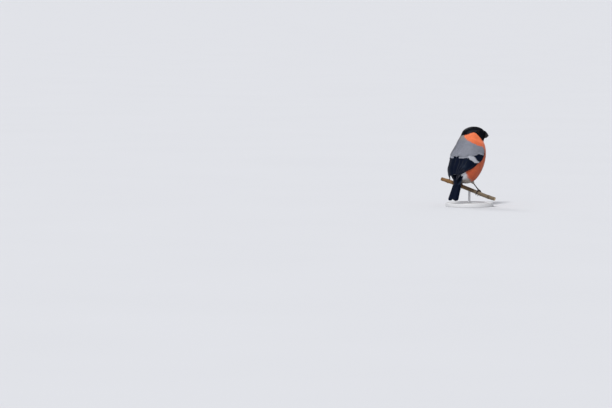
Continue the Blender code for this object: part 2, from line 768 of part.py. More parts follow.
def finish_nodes():
    for thing in bpy.context.scene.objects:
        start = thing.name.split("_")[0]
        colour, roughness, metallic = FINISHES[start]
        material = bpy.data.materials.new(thing.name + "_finish")
        material.use_nodes = True
        shader = material.node_tree.nodes["Principled BSDF"]
        shader.inputs["Base Color"].default_value = (*colour, 1)
        shader.inputs["Roughness"].default_value = roughness
        shader.inputs["Metallic"].default_value = metallic
        thing.data.materials.clear()
        thing.data.materials.append(material)
        thing.data.shade_smooth()
        thing.data.set_sharp_from_angle(angle=math.radians(40))


def main():
    clear_scene()
    make_torso()
    make_neck()
    make_head()
    make_bill()
    for name, side in SIDES.items():
        make_wing(name, side)
        make_leg(name, side)
    make_tail()
    make_twig()
    make_stand()
    finish_nodes()


main()
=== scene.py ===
"""Looks of the perched bullfinch: skin, plumage, bill, eyes, legs, twig and display stand.

Tables of sizes are in millimetres, as MM says. The bird faces +X with its left side on +Y, and its
head is turned to its right. Places run from the tail root, 0, to the base of the bill, 16.
"""

import math

import bpy
import numpy as np
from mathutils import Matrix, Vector, kdtree
from mathutils.bvhtree import BVHTree


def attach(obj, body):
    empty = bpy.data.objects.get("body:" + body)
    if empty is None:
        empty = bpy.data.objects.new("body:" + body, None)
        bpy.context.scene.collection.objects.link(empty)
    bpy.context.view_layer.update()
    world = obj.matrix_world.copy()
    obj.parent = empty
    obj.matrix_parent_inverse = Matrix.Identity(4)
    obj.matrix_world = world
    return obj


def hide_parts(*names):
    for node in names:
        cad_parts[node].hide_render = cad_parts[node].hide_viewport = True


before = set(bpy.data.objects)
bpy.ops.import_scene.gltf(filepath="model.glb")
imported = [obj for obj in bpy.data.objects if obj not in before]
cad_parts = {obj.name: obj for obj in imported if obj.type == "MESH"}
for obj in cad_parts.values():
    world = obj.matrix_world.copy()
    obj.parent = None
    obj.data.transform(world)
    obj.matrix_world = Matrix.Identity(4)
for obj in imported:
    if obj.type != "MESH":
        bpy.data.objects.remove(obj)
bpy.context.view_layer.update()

MM = 0.001
LEFT, RIGHT = 1, -1
SIDES = {"left": LEFT, "right": RIGHT}
UP = np.array([0.0, 0.0, 1.0])

# Body outline: dorsal point (x, z), ventral point (x, z), half width, share of the head's turn.
BODY = np.array([
    (-31.8, 49.5, -21.0, 43.3, 9.5, 0.0),
    (-33.6, 53.5, -15.5, 40.0, 14.0, 0.0),
    (-35.0, 58.5, -7.5, 38.8, 19.0, 0.0),
    (-35.2, 65.5, 3.0, 43.0, 23.3, 0.0),
    (-34.0, 73.0, 13.5, 53.5, 26.0, 0.0),
    (-31.4, 81.0, 21.2, 66.5, 27.4, 0.0),
    (-27.8, 90.0, 25.8, 80.0, 27.4, 0.0),
    (-23.2, 99.0, 27.4, 92.5, 25.2, 0.0),
    (-19.4, 107.5, 26.9, 101.0, 22.2, 0.14),
    (-15.4, 114.3, 25.6, 105.6, 18.6, 0.45),
    (-12.2, 120.2, 25.3, 108.2, 16.2, 0.80),
    (-9.2, 125.8, 25.6, 109.7, 14.9, 1.0),
    (-3.6, 129.9, 25.8, 110.6, 14.0, 1.0),
    (4.5, 132.4, 26.0, 111.2, 13.3, 1.0),
    (14.0, 132.2, 26.1, 111.7, 11.9, 1.0),
    (21.8, 129.4, 26.2, 112.2, 9.0, 1.0),
    (26.0, 125.9, 26.2, 112.8, 5.0, 1.0),
])
HEAD_TURN = math.radians(-35)
NECK_AXIS_X = 4.5
ROUNDNESS = 2.15
LAST_PLACE = len(BODY) - 1

EYE_RADIUS = 3.0
EYE_FORWARD, EYE_HEIGHT, EYE_APART = 13.4, 124.2, 10.6
EYE_AXIS = (0.16, 1.0, 0.26)
EYE_SWELL = 0.7

# Bill, before the head turns: culmen height, half width, lower edge height, from its base to its tip.
BILL_BASE_X, BILL_LONG = 26.5, 7.8
BILL_GAPE = (118.8, 117.3)
BILL_TOP = (125.4, 124.8, 123.7, 122.1, 119.9, 117.0)
BILL_WIDE = (4.6, 4.5, 4.1, 3.4, 2.3, 0.4)
BILL_FOOT = (113.3, 113.1, 113.4, 114.1, 115.4, 117.0)
LOWER_SHARE = 0.92
BILL_HOOK = 0.4

# Wings: dorsal point (x, z) and half width of the surface that they lie on, behind place 4.
WING_REAR = np.array([
    (-36.6, 42.0, 13.5),
    (-37.0, 48.5, 15.5),
    (-37.2, 54.5, 18.0),
    (-37.2, 60.0, 21.0),
    (-36.4, 66.5, 24.4),
])
WING_BED = np.vstack([WING_REAR, BODY[4:, [0, 1, 4]]])
WING_TOP_EDGE = (8, 5, 3, 2, 2, 2, 3, 8, 18, 34)
WING_LOW_EDGE = {
    LEFT: (43, 43, 45, 49, 57, 72, 90, 104, 106, 88),
    RIGHT: (18, 23, 31, 41, 54, 72, 90, 104, 106, 88),
}
WING_FLOOR = 0.75
WING_TUCK = (0, 0, 0, 0, 0, 0.5, 1.3, 2.1, 2.5, 2.6)
CORE_PLACES = (7.5, 7.3, 6.9, 6.35, 5.8, 5.2, 4.6, 4.0, 3.4, 2.8)
CORE_THICK = (0.5, 1.7, 2.4, 2.5, 2.3, 2.1, 1.8, 1.5, 1.2, 0.8)
CORE_TOP = (0.22, 0.08, 0.03, 0.03, 0.04, 0.05, 0.07, 0.10, 0.15, 0.24)
CORE_LOW = (0.78, 0.95, 0.98, 0.97, 0.96, 0.94, 0.92, 0.88, 0.82, 0.74)

TAIL_ROOT = np.array([-26.6, 0.0, 47.6])
TAIL_LEAN = math.radians(22.4)
TAIL_LONG = 39.6

TWIG_RADIUS = 3.3
TWIG_MIDDLE = np.array([0.0, 0.0, 28.1])
TWIG_ALONG = np.array([-8.8, 34.4, 11.7]) / np.linalg.norm((-8.8, 34.4, 11.7))
TWIG_REACH = {LEFT: 55.0, RIGHT: 50.0}
FOOT_PLACE = {LEFT: 19.4, RIGHT: -17.0}
ANKLE = {LEFT: np.array([-12.5, 13.2, 50.5]), RIGHT: np.array([-5.0, -11.2, 41.5])}
SLEEVE_END = {LEFT: 4.4, RIGHT: 14.6}
BUDS = ((41.0, 1.2), (-39.0, -1.3), (-8.0, 2.3))
TOE_RADIUS = 1.05
TOE_RISE = TOE_RADIUS + 0.4
BASE_RADIUS, BASE_THICK, ROD_RADIUS = 40.0, 6.0, 2.0

# Colours as the materials hold them, in linear light.
# The belly's red is a deeper red and is also darkened by painted shade.
RED_CHEEK, RED_BREAST, RED_BELLY_WITH_SHADE = (0.94, 0.235, 0.088), (0.78, 0.165, 0.060), (0.60, 0.115, 0.042)
GREY, GREY_NAPE = (0.235, 0.245, 0.285), (0.30, 0.28, 0.27)
BLACK, BLUE_BLACK = (0.0026, 0.0029, 0.0048), (0.0022, 0.0044, 0.0140)
# The vent's white is held grey-brown: white darkened by painted shade.
WHITE, SHADED_VENT_WHITE = (0.76, 0.78, 0.81), (0.38, 0.33, 0.29)
BAR_GREY, QUILL_BROWN = (0.39, 0.40, 0.44), (0.030, 0.026, 0.028)
DOWN_GREY = (0.12, 0.12, 0.13)
# Seeds of the random draws.
COAT_SEED, TAIL_SEED, BRISTLE_SEED, BARK_SEED = 11, 31, 41, 5
WING_SEED = {LEFT: 21, RIGHT: 22}


# Sums on points

def unit(vectors):
    vectors = np.asarray(vectors, float)
    return vectors / np.maximum(np.linalg.norm(vectors, axis=-1, keepdims=True), 1e-12)


def eased(value, low, high):
    """0 below low, 1 above high, and a smooth rise between."""
    share = np.clip((np.asarray(value, float) - low) / (high - low), 0, 1)
    return share * share * (3 - 2 * share)


def rows_at(rows, place):
    """Smooth rows of values at places in an evenly spaced table; the ends run on in straight lines."""
    rows = np.asarray(rows, float)
    rows = rows[:, None] if rows.ndim == 1 else rows
    last = len(rows) - 1
    place = np.asarray(place, float)
    low = np.clip(np.floor(place).astype(int), 0, last - 1)
    share = (place - low)[..., None]
    padded = np.vstack([2 * rows[0] - rows[1], rows, 2 * rows[-1] - rows[-2]])
    behind, here, ahead, beyond = (padded[low + step] for step in range(4))
    slope_in, slope_out = (ahead - behind) / 2, (beyond - here) / 2
    square, cube = share ** 2, share ** 3
    curve = (here * (2 * cube - 3 * square + 1) + slope_in * (cube - 2 * square + share)
             + ahead * (3 * square - 2 * cube) + slope_out * (cube - square))
    straight = here + (ahead - here) * share
    return np.where((share < 0) | (share > 1), straight, curve)


def turned(points, share=1.0):
    """Points of the straight-necked bird, carried round by the head's turn."""
    points = np.asarray(points, float)
    turn = HEAD_TURN * np.asarray(share, float)
    x, y = points[..., 0] - NECK_AXIS_X, points[..., 1]
    cos, sin = np.cos(turn), np.sin(turn)
    return np.stack([NECK_AXIS_X + x * cos - y * sin, x * sin + y * cos, points[..., 2]], -1)


def middle_and_half(rows):
    """Middle of each cross-section, and the way from it to the back, both as (x, z)."""
    return (rows[..., :2] + rows[..., 2:4]) / 2, (rows[..., :2] - rows[..., 2:4]) / 2


def section_points(rows, angle, straight=False):
    """Points on cross-sections; angle 0 is the back, and plus angles are on the bird's left."""
    cos, sin = np.cos(angle), np.sin(angle)
    along = np.sign(cos) * np.abs(cos) ** (2 / ROUNDNESS)
    across = np.sign(sin) * np.abs(sin) ** (2 / ROUNDNESS)
    middle, half = middle_and_half(rows)
    spot = middle + half * along[..., None]
    points = np.stack([spot[..., 0], rows[..., 4] * across, spot[..., 1]], -1)
    return points if straight else turned(points, rows[..., 5])


def body_points(place, angle, inset=0.0, straight=False):
    """Points of the body, this far under its outline."""
    rows = rows_at(BODY, place)
    middle, half = middle_and_half(rows)
    scale = (1 - inset / np.linalg.norm(half, axis=-1))[..., None]
    rows[..., :2], rows[..., 2:4] = middle + half * scale, middle - half * scale
    rows[..., 4] -= inset
    return section_points(rows, angle, straight)


def wing_rows(place):
    """Cross-sections of the bed that the wings lie on."""
    rows = rows_at(BODY, place)
    rows[..., [0, 1, 4]] = rows_at(WING_BED, place + 1)
    rows[..., 5] = 0
    return rows


def wing_edges(side, place):
    """Degrees from the back at which a wing's bed starts and ends."""
    return rows_at(WING_TOP_EDGE, place + 1)[..., 0], rows_at(WING_LOW_EDGE[side], place + 1)[..., 0]


def wing_floor(place):
    """Height over its bed at which a wing starts; where it is under 0, the wing is tucked into the side."""
    return WING_FLOOR - rows_at(WING_TUCK, place + 1)[..., 0]


def wing_frames(side, place, across):
    """Points on the wing's bed, and outward normals."""
    def bed(place, across):
        top, low = wing_edges(side, place)
        return section_points(wing_rows(place), side * np.radians(top + (low - top) * across))

    here = bed(place, across)
    normal = unit(np.cross(bed(place + 0.02, across) - here, bed(place, across + 0.02) - here))
    out = here - np.stack([np.full_like(place, -5.0), np.zeros_like(place), here[..., 2]], -1)
    return here, normal * np.where((normal * out).sum(-1) < 0, -1, 1)[..., None]


def wing_points(side, place, across, lift):
    here, normal = wing_frames(side, place, across)
    return here + normal * (wing_floor(place) + lift)[..., None]


def eye_middle(side):
    return turned((EYE_FORWARD, side * EYE_APART, EYE_HEIGHT))


def turned_way(way):
    """A direction on the straight-necked bird, carried round by the head's turn."""
    axis = np.array([NECK_AXIS_X, 0, 0])
    return turned(axis + way) - axis


def eye_axis(side):
    forward, out, up = EYE_AXIS
    return unit(turned_way((forward, side * out, up)))


def grid_at(table, row, column):
    """Values between the points of a grid, at these rows and columns."""
    low_row = np.clip(row.astype(int), 0, table.shape[0] - 2)
    low_column = np.clip(column.astype(int), 0, table.shape[1] - 2)
    r, c = row - low_row, column - low_column
    if table.ndim == 3:
        r, c = r[:, None], c[:, None]
    near = table[low_row, low_column] * (1 - c) + table[low_row, low_column + 1] * c
    far = table[low_row + 1, low_column] * (1 - c) + table[low_row + 1, low_column + 1] * c
    return near * (1 - r) + far * r


# Materials

class Wire:
    """An output socket of a finish; sums on it add Math nodes."""

    def __init__(self, finish, socket):
        self.finish, self.socket = finish, socket

    def maths(self, operation, *values):
        return self.finish.node("ShaderNodeMath", {"operation": operation}, values)

    def __add__(self, other):
        return self.maths("ADD", self, other)

    def __sub__(self, other):
        return self.maths("SUBTRACT", self, other)

    def __rsub__(self, other):
        return self.maths("SUBTRACT", other, self)

    def __mul__(self, other):
        return self.maths("MULTIPLY", self, other)

    __radd__, __rmul__ = __add__, __mul__


class Finish:
    """One material. Values that are the same all over go on the shader's own sockets."""

    def __init__(self, name, fixed):
        self.material = bpy.data.materials.new(name)
        self.material.use_nodes = True
        self.tree = self.material.node_tree
        self.shader = self.tree.nodes["Principled BSDF"]
        for socket, value in fixed.items():
            self.shader.inputs[socket].default_value = value

    def node(self, kind, settings=None, values=(), out=0):
        """Adds a node: settings first, then the values or links of its sockets."""
        made = self.tree.nodes.new(kind)
        for setting, value in (settings or {}).items():
            if setting == "stops":
                while len(made.color_ramp.elements) < len(value):
                    made.color_ramp.elements.new(0.5)
                for stop, (place, colour) in zip(made.color_ramp.elements, value):
                    stop.position, stop.color = place, (*colour, 1)
            else:
                setattr(made, setting, value)
        pairs = values.items() if isinstance(values, dict) else enumerate(values)
        for place, value in pairs:
            if isinstance(value, Wire):
                self.tree.links.new(value.socket, made.inputs[place])
            else:
                made.inputs[place].default_value = value
        if isinstance(out, tuple):
            return [Wire(self, made.outputs[name]) for name in out]
        return Wire(self, made.outputs[out])

    def feed(self, **wires):
        """Links wires to the shader's sockets, with underscores for the spaces in their names."""
        for name, wire in wires.items():
            self.tree.links.new(wire.socket, self.shader.inputs[name.replace("_", " ")])
        return self.material

    def place(self):
        return self.node("ShaderNodeTexCoord", out="Object")

    def vector(self, x, y, z=0.0):
        return self.node("ShaderNodeCombineXYZ", {}, [x, y, z])

    def noise(self, vector, scale, detail=3.0, rough=0.5):
        values = {"Vector": vector, "Scale": scale, "Detail": detail, "Roughness": rough}
        return self.node("ShaderNodeTexNoise", {}, values)

    def cells(self, feature, vector, scale):
        return self.node("ShaderNodeTexVoronoi", {"feature": feature}, {"Vector": vector, "Scale": scale})

    def ramp(self, value, low, high, start=0.0, end=1.0, smooth=False):
        """Start below low, end above high, and a straight or smooth way between."""
        settings = {"interpolation_type": "SMOOTHSTEP" if smooth else "LINEAR"}
        return self.node("ShaderNodeMapRange", settings, [value, low, high, start, end])

    def mix(self, share, low, high):
        """A colour between two, each given as numbers or as a wire."""
        low, high = (end if isinstance(end, Wire) else (*end, 1) for end in (low, high))
        return self.node("ShaderNodeMix", {"data_type": "RGBA"}, {0: share, 6: low, 7: high}, out=2)

    def bump(self, height, strength, distance):
        values = {"Height": height, "Strength": strength, "Distance": distance * MM}
        return self.node("ShaderNodeBump", {}, values)

    def tint(self):
        """Colour that a piece holds at each of its points."""
        return self.node("ShaderNodeAttribute", {"attribute_name": "Tint"}, out="Color")

    def tuned(self, colour, value, hue=0.5):
        """A colour made brighter or darker, and moved round the colour circle."""
        return self.node("ShaderNodeHueSaturation", {}, {"Hue": hue, "Value": value, "Color": colour})

    def vane(self):
        """Millimetres across and along the feather, a number of its own, and its share along."""
        node = {"attribute_name": "Vane"}
        colour, share = self.node("ShaderNodeAttribute", node, out=("Color", "Alpha"))
        channels = ("Red", "Green", "Blue")
        across, along, chance = self.node("ShaderNodeSeparateColor", {}, [colour], out=channels)
        return across, along, chance, share


def plumage(name, rough, sheen, gloss, gloss_tint, barb=0.16, streak=0.30, depth=0.02):
    """Feathers: their own tint, streaked along the barbs, with barbs as fine ridges."""
    finish = Finish(name, {
        "Sheen Weight": sheen, "Sheen Roughness": 0.4, "Specular IOR Level": gloss,
        "Specular Tint": (*gloss_tint, 1), "Diffuse Roughness": 0.4,
    })
    across, along, chance, share = finish.vane()
    slant = along + across.maths("ABSOLUTE", across) * 1.15
    barbs = slant.maths("SINE", slant * (2 * math.pi / barb))
    clumps = finish.noise(finish.vector(slant * 1.6, across * 0.35, chance * 40), 1.0, 4.0, 0.6)
    cloud = finish.noise(finish.place(), 90.0, 3.0)
    value = 0.88 + chance * 0.11 + (clumps - 0.5) * streak + (cloud - 0.5) * 0.22 + barbs * 0.03
    colour = finish.tuned(finish.tint(), value, 0.496 + chance * 0.008)
    rough_here = rough + (clumps - 0.5) * 0.2 + (1 - share) * 0.1
    ridges = finish.bump(barbs * 0.3 + clumps * 1.5, 0.35, depth)
    return finish.feed(Base_Color=colour, Roughness=rough_here, Normal=ridges)


def skin_finish():
    """Down: the tint of the plumage over it, darkened between its tufts as painted shade."""
    finish = Finish("down_skin", {"Sheen Weight": 0.3, "Diffuse Roughness": 0.6, "Specular IOR Level": 0.2})
    down = finish.noise(finish.place(), 1400.0, 5.0, 0.7)
    colour = finish.tuned(finish.tint(), 0.4 + down * 0.6)
    return finish.feed(Base_Color=colour, Roughness=0.75 + down * 0.2, Normal=finish.bump(down, 0.6, 0.1))


def horn_finish():
    """Bill: dark horn with growth lines, polished along the cutting edges, and paler there, partly as the
    horn's own tone and partly as a painted highlight.
    """
    finish = Finish("bill_horn", {"Specular IOR Level": 0.2, "Coat Weight": 0.25, "Coat Roughness": 0.12})
    across, along, _, share = finish.vane()
    grain = finish.noise(finish.place(), 900.0, 4.0, 0.6)
    growth = finish.noise(finish.vector(along * 2.2, across * 0.2), 1.0, 3.0)
    # Paler near the cutting edges: partly the horn's own tone, partly a painted highlight.
    pale_highlit_edge = finish.ramp(share, 0.55, 1.0, smooth=True)
    colour = finish.mix(pale_highlit_edge, (0.004, 0.004, 0.005), (0.022, 0.020, 0.022))
    colour = finish.mix(growth * 0.6, colour, (0.012, 0.011, 0.012))
    rough = 0.26 + grain * 0.16 + growth * 0.1
    lines = finish.bump(growth * 1.2 + grain * 0.3, 0.3, 0.03)
    return finish.feed(Base_Color=colour, Roughness=rough, Normal=lines)


def eye_finish():
    """Dark chestnut iris round a black pupil, under a wet cornea."""
    finish = Finish("eye_wet", {
        "Coat Weight": 1.0, "Coat Roughness": 0.02, "Coat IOR": 1.24, "Specular IOR Level": 0.03,
    })
    away = finish.node("ShaderNodeAttribute", {"attribute_name": "Away"}, out="Fac")
    fibres = finish.noise(finish.place(), 2600.0, 3.0)
    pupil = (0.001, 0.001, 0.001)
    stops = [(0.0, pupil), (0.36, pupil), (0.40, (0.010, 0.004, 0.002)), (0.58, (0.008, 0.003, 0.002)),
             (0.66, (0.002, 0.002, 0.002)), (1.0, (0.003, 0.003, 0.003))]
    colour = finish.node("ShaderNodeValToRGB", {"stops": stops}, [away + (fibres - 0.5) * 0.03])
    return finish.feed(Base_Color=colour, Roughness=0.08 + fibres * 0.04)


def scale_finish(name, dark, pale, rough):
    """Horny skin of legs and lids: dark with paler patches, and a relief of scales."""
    finish = Finish(name, {"Specular IOR Level": 0.3})
    spot = finish.place()
    patches = finish.noise(spot, 500.0, 4.0)
    scales = finish.cells("DISTANCE_TO_EDGE", spot, 1500.0)
    colour = finish.mix(patches, dark, pale)
    height = scales.maths("MINIMUM", scales * 3.0, 0.6) + patches * 0.5
    relief = finish.bump(height, 0.5, 0.06)
    return finish.feed(Base_Color=colour, Roughness=rough + patches * 0.2, Normal=relief)


def bark_finish():
    """Golden-brown bark, greyer towards the bird's right, with lenticels and lengthwise cracks."""
    finish = Finish("bark", {"Specular IOR Level": 0.3})
    across, along, _, share = finish.vane()
    spot = finish.place()
    cracks = finish.noise(finish.vector(along * 0.10, across * 1.3), 1.0, 6.0, 0.65)
    mottle = finish.noise(spot, 160.0, 4.0, 0.6)
    fine = finish.noise(spot, 1500.0, 4.0, 0.6)
    pores = finish.cells("F1", finish.vector(along * 0.30, across * 0.62), 1.0)
    lenticel = finish.ramp(pores, 0.10, 0.20, 1.0, 0.0, smooth=True)
    cracks = (cracks - 0.5) * 2.6 + 0.5
    warm = finish.mix(cracks, (0.085, 0.040, 0.014), (0.36, 0.195, 0.068))
    grey = finish.mix(cracks, (0.075, 0.058, 0.036), (0.27, 0.215, 0.145))
    greyness = finish.ramp(share + (mottle - 0.5) * 0.5, 0.35, 0.75, 1.0, 0.0)
    colour = finish.mix(greyness, warm, grey)
    colour = finish.mix(mottle * 0.45, colour, (0.060, 0.032, 0.016))
    colour = finish.mix(lenticel * 0.6, colour, (0.36, 0.26, 0.16))
    relief = finish.bump(cracks + fine * 0.25 + lenticel * 0.5, 0.6, 0.35)
    return finish.feed(Base_Color=colour, Roughness=0.70 + fine * 0.25, Normal=relief)


def wood_finish():
    """Cut end of the twig: rings round a dark pith."""
    finish = Finish("cut_wood", {"Specular IOR Level": 0.25})
    across = finish.vane()[0]
    fine = finish.noise(finish.place(), 900.0, 4.0)
    rings = across.maths("SINE", (across + fine * 0.25) * 9.0)
    colour = finish.mix(rings * 0.25 + 0.5, (0.42, 0.29, 0.15), (0.66, 0.52, 0.33))
    colour = finish.mix(finish.ramp(across, 0.35, 0.65, 1.0, 0.0), colour, (0.20, 0.12, 0.06))
    relief = finish.bump(rings + fine, 0.3, 0.05)
    return finish.feed(Base_Color=colour, Roughness=0.8 + fine * 0.1, Normal=relief)


def lacquer_finish():
    """Stand base: pale satin lacquer, very slightly rippled."""
    finish = Finish("stand_lacquer", {"Specular IOR Level": 0.5, "Coat Weight": 0.15, "Coat Roughness": 0.3})
    spot = finish.place()
    cloud = finish.noise(spot, 40.0, 3.0)
    peel = finish.noise(spot, 1100.0, 2.0)
    colour = finish.mix(cloud * 0.6, (0.60, 0.60, 0.60), (0.66, 0.66, 0.665))
    return finish.feed(Base_Color=colour, Roughness=0.36 + cloud * 0.12, Normal=finish.bump(peel, 0.12, 0.05))


def steel_finish():
    """Stand rod: drawn steel with fine rings from polishing."""
    finish = Finish("stand_steel", {"Metallic": 1.0})
    stretched = finish.node("ShaderNodeMapping", {}, {"Vector": finish.place(), "Scale": (60, 60, 9000)})
    drawn = finish.noise(stretched, 1.0, 3.0)
    colour = finish.mix(drawn, (0.50, 0.50, 0.51), (0.66, 0.66, 0.67))
    return finish.feed(Base_Color=colour, Roughness=0.24 + drawn * 0.14, Normal=finish.bump(drawn, 0.1, 0.02))


# Meshes from arrays

# Most triangles in one joined piece, and what each point of such a piece holds.
MOST_TRIANGLES = 190_000
TUFT_LAYERS = ("points", "normals", "vane", "tint", "bake")
# Cells of the OFBake map, as left, bottom, width and height: one for a whole piece, and a square of 8 x 8.
WHOLE_MAP = (0.02, 0.02, 0.96, 0.96)
MAP_CELLS, MAP_GAP = 8, 0.004
# Random roots tried for each one that has room, and how deep a small feather's root is sunk.
TRIES = 4.5
TUFT_SUNK = 0.25


def bake_cell(number):
    """The next large feather's own cell of the OFBake map."""
    step = 1 / MAP_CELLS
    left, bottom = (number % MAP_CELLS) * step + MAP_GAP, (number // MAP_CELLS) * step + MAP_GAP
    return left, bottom, step - 2 * MAP_GAP, step - 2 * MAP_GAP


def put_on(piece, slot, *nodes):
    """Hands a piece over: it rides on the one body and stands for these solids; the slot is not used."""
    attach(piece, "root")
    if nodes:
        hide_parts(*nodes)


def array_piece(name, points, faces, material, normals=None, vane=None, tint=None, bake=None):
    """A mesh object from arrays, with the values that its finish reads at each point."""
    mesh = bpy.data.meshes.new(name)
    mesh.vertices.add(len(points))
    mesh.vertices.foreach_set("co", (np.asarray(points) * MM).astype(np.float32).ravel())
    mesh.loops.add(faces.size)
    mesh.loops.foreach_set("vertex_index", faces.astype(np.int32).ravel())
    mesh.polygons.add(len(faces))
    mesh.polygons.foreach_set("loop_start", np.arange(0, faces.size, faces.shape[1], dtype=np.int32))
    mesh.update(calc_edges=True)
    mesh.polygons.foreach_set("use_smooth", np.ones(len(faces), bool))
    for layer, values in (("Vane", vane), ("Tint", tint)):
        if values is not None:
            made = mesh.attributes.new(layer, "FLOAT_COLOR", "POINT")
            made.data.foreach_set("color", values.astype(np.float32).ravel())
    if bake is not None:
        made = mesh.uv_layers.new(name="OFBake")
        made.data.foreach_set("uv", bake[faces.ravel()].astype(np.float32).ravel())
    if normals is not None:
        mesh.normals_split_custom_set_from_vertices(normals.astype(np.float32))
    mesh.materials.append(material)
    thing = bpy.data.objects.new(name, mesh)
    bpy.context.scene.collection.objects.link(thing)
    return thing


def grid_faces(rows, columns, wrap):
    """Triangles over a grid of points, outward where rows go up and columns go anticlockwise."""
    row, column = np.meshgrid(np.arange(rows - 1), np.arange(columns if wrap else columns - 1), indexing="ij")
    row, column = row.ravel(), column.ravel()
    after = (column + 1) % columns
    a, b = row * columns + column, row * columns + after
    c, d = (row + 1) * columns + after, (row + 1) * columns + column
    return np.concatenate([np.stack([a, b, c], 1), np.stack([a, c, d], 1)])


def facing_out(points, faces):
    """The same faces, turned round if the closed mesh would be inside out."""
    corner = points[faces]
    volume = np.einsum("ij,ij->", corner[:, 0], np.cross(corner[:, 1], corner[:, 2]))
    return faces if volume > 0 else faces[:, ::-1]


def capped_grid(rings):
    """Points and faces of a closed shape through rings of points, with a middle point at each end."""
    count, sides = rings.shape[:2]
    points = np.concatenate([rings.reshape(-1, 3), rings[:1].mean(1), rings[-1:].mean(1)])
    faces = grid_faces(count, sides, True)
    around = np.arange(sides)
    after = (around + 1) % sides
    first = np.stack([after, around, np.full(sides, count * sides)], 1)
    base = (count - 1) * sides
    last = np.stack([around + base, after + base, np.full(sides, count * sides + 1)], 1)
    faces = np.concatenate([faces, first, last])
    return points, facing_out(points, faces)


def tube_rings(centres, radii, sides, up):
    """Rings of points round a line of centres."""
    centres = np.asarray(centres, float)
    ahead = unit(np.gradient(centres, axis=0))
    across = unit(np.cross(ahead, up))
    over = unit(np.cross(across, ahead))
    angle = np.linspace(0, 2 * math.pi, sides, endpoint=False)
    spread = across[:, None] * np.cos(angle)[None, :, None] + over[:, None] * np.sin(angle)[None, :, None]
    radii = np.asarray(radii, float)
    radii = radii[:, None] if radii.ndim == 1 else radii
    return centres[:, None] + spread * radii[..., None]


def in_cell(cell, across, along):
    """Places on the OFBake map, for shares across and along a cell (left, bottom, width, height) of it."""
    left, bottom, wide, high = cell
    return np.stack([left + across * wide, bottom + along * high], -1)


class Surface:
    """A smooth sheet of points: rows go up the body, columns round it, and feathers lie down the rows."""

    def __init__(self, points, inside, wrap=False):
        self.points = np.concatenate([points, points[:, :1]], 1) if wrap else points
        along = np.gradient(self.points, axis=0)
        across = np.gradient(self.points, axis=1)
        if wrap:
            across[:, 0] = across[:, -1] = self.points[:, 1] - self.points[:, -2]
        normal = unit(np.cross(across, along))
        outward = ((self.points - inside[:, None]) * normal).sum(-1, keepdims=True)
        self.normal = np.where(outward < 0, -normal, normal)
        self.flow = unit(-along)
        rows, columns = self.points.shape[:2]
        self.size = np.array([rows - 1, columns - 1])
        grid = self.points.reshape(-1, 3)
        self.tree = BVHTree.FromPolygons(grid.tolist(), grid_faces(rows, columns, False).tolist())
        edge_a = self.points[1:, :-1] - self.points[:-1, :-1]
        edge_b = self.points[:-1, 1:] - self.points[:-1, :-1]
        self.area = np.linalg.norm(np.cross(edge_a, edge_b), axis=-1)

    def nearest(self, points, inward):
        """Closest points of the sheet, and its normals there, turned to the side of the old ones."""
        found = [self.tree.find_nearest(point)[:2] for point in points.tolist()]
        spots = np.array([spot for spot, _ in found])
        normals = np.array([normal for _, normal in found])
        return spots, normals * np.where((normals * inward).sum(-1) < 0, -1, 1)[:, None]

    def spread(self, chance, spacing, wanted):
        """Rows and columns of roots that keep a distance of their own, where wanted says."""
        middles = np.meshgrid(np.arange(self.size[0]) + 0.5, np.arange(self.size[1]) + 0.5, indexing="ij")
        cells = np.stack(middles, -1).reshape(-1, 2)
        gap = spacing(*cells.T)
        weight = self.area.ravel() / gap ** 2 * wanted(*cells.T)
        count = int(weight.sum() * TRIES)
        pick = chance.choice(len(weight), count, p=weight / weight.sum())
        spots = cells[pick] + chance.uniform(-0.5, 0.5, (count, 2))
        places = grid_at(self.points, spots[:, 0], spots[:, 1]).tolist()
        tree = kdtree.KDTree(count)
        for index, place in enumerate(places):
            tree.insert(place, index)
        tree.balance()
        gone, kept = bytearray(count), []
        for index, (place, room) in enumerate(zip(places, gap[pick].tolist())):
            if not gone[index]:
                kept.append(index)
                for _, other, _ in tree.find_range(place, room):
                    gone[other] = 1
        row, column = spots[kept, 0], spots[kept, 1]
        clear = wanted(row, column)
        return row[clear], column[clear]


def tuft_form(lobes, notch=0.41):
    """One small feather: points (across, along), which of them split at the tip, and its triangles.
    The first points go round its edge from the root, then come two on its crest and one underneath."""
    sweep = np.radians(np.linspace(-74, 74, 2 * lobes - 1))
    reach = np.where(np.arange(2 * lobes - 1) % 2 == 0, 0.48, notch)
    edge = [(0, 0), (-0.30, 0.20), (-0.46, 0.42)]
    for turn, far in zip(sweep, reach):
        half = 0.46 if far < 0.45 else 0.5
        edge.append((half * math.sin(turn), 0.52 + far * math.cos(turn)))
    edge += [(0.46, 0.42), (0.30, 0.20)]
    count = len(edge)
    points = np.array(edge + [(0, 0.34), (0, 0.66), (0, 0.5)])
    low_crest, high_crest, under = count, count + 1, count + 2
    faces = []
    for index in range(count):
        after = (index + 1) % count
        crest = low_crest if min(edge[index][1], edge[after][1]) < 0.4 else high_crest
        faces.append((index, crest, after))
        faces.append((after, under, index))
    faces += [(2, low_crest, high_crest), (count - 2, high_crest, low_crest)]
    tip = np.clip((points[:, 1] - 0.72) / 0.12, 0, 1)
    return points, tip, np.array(faces)


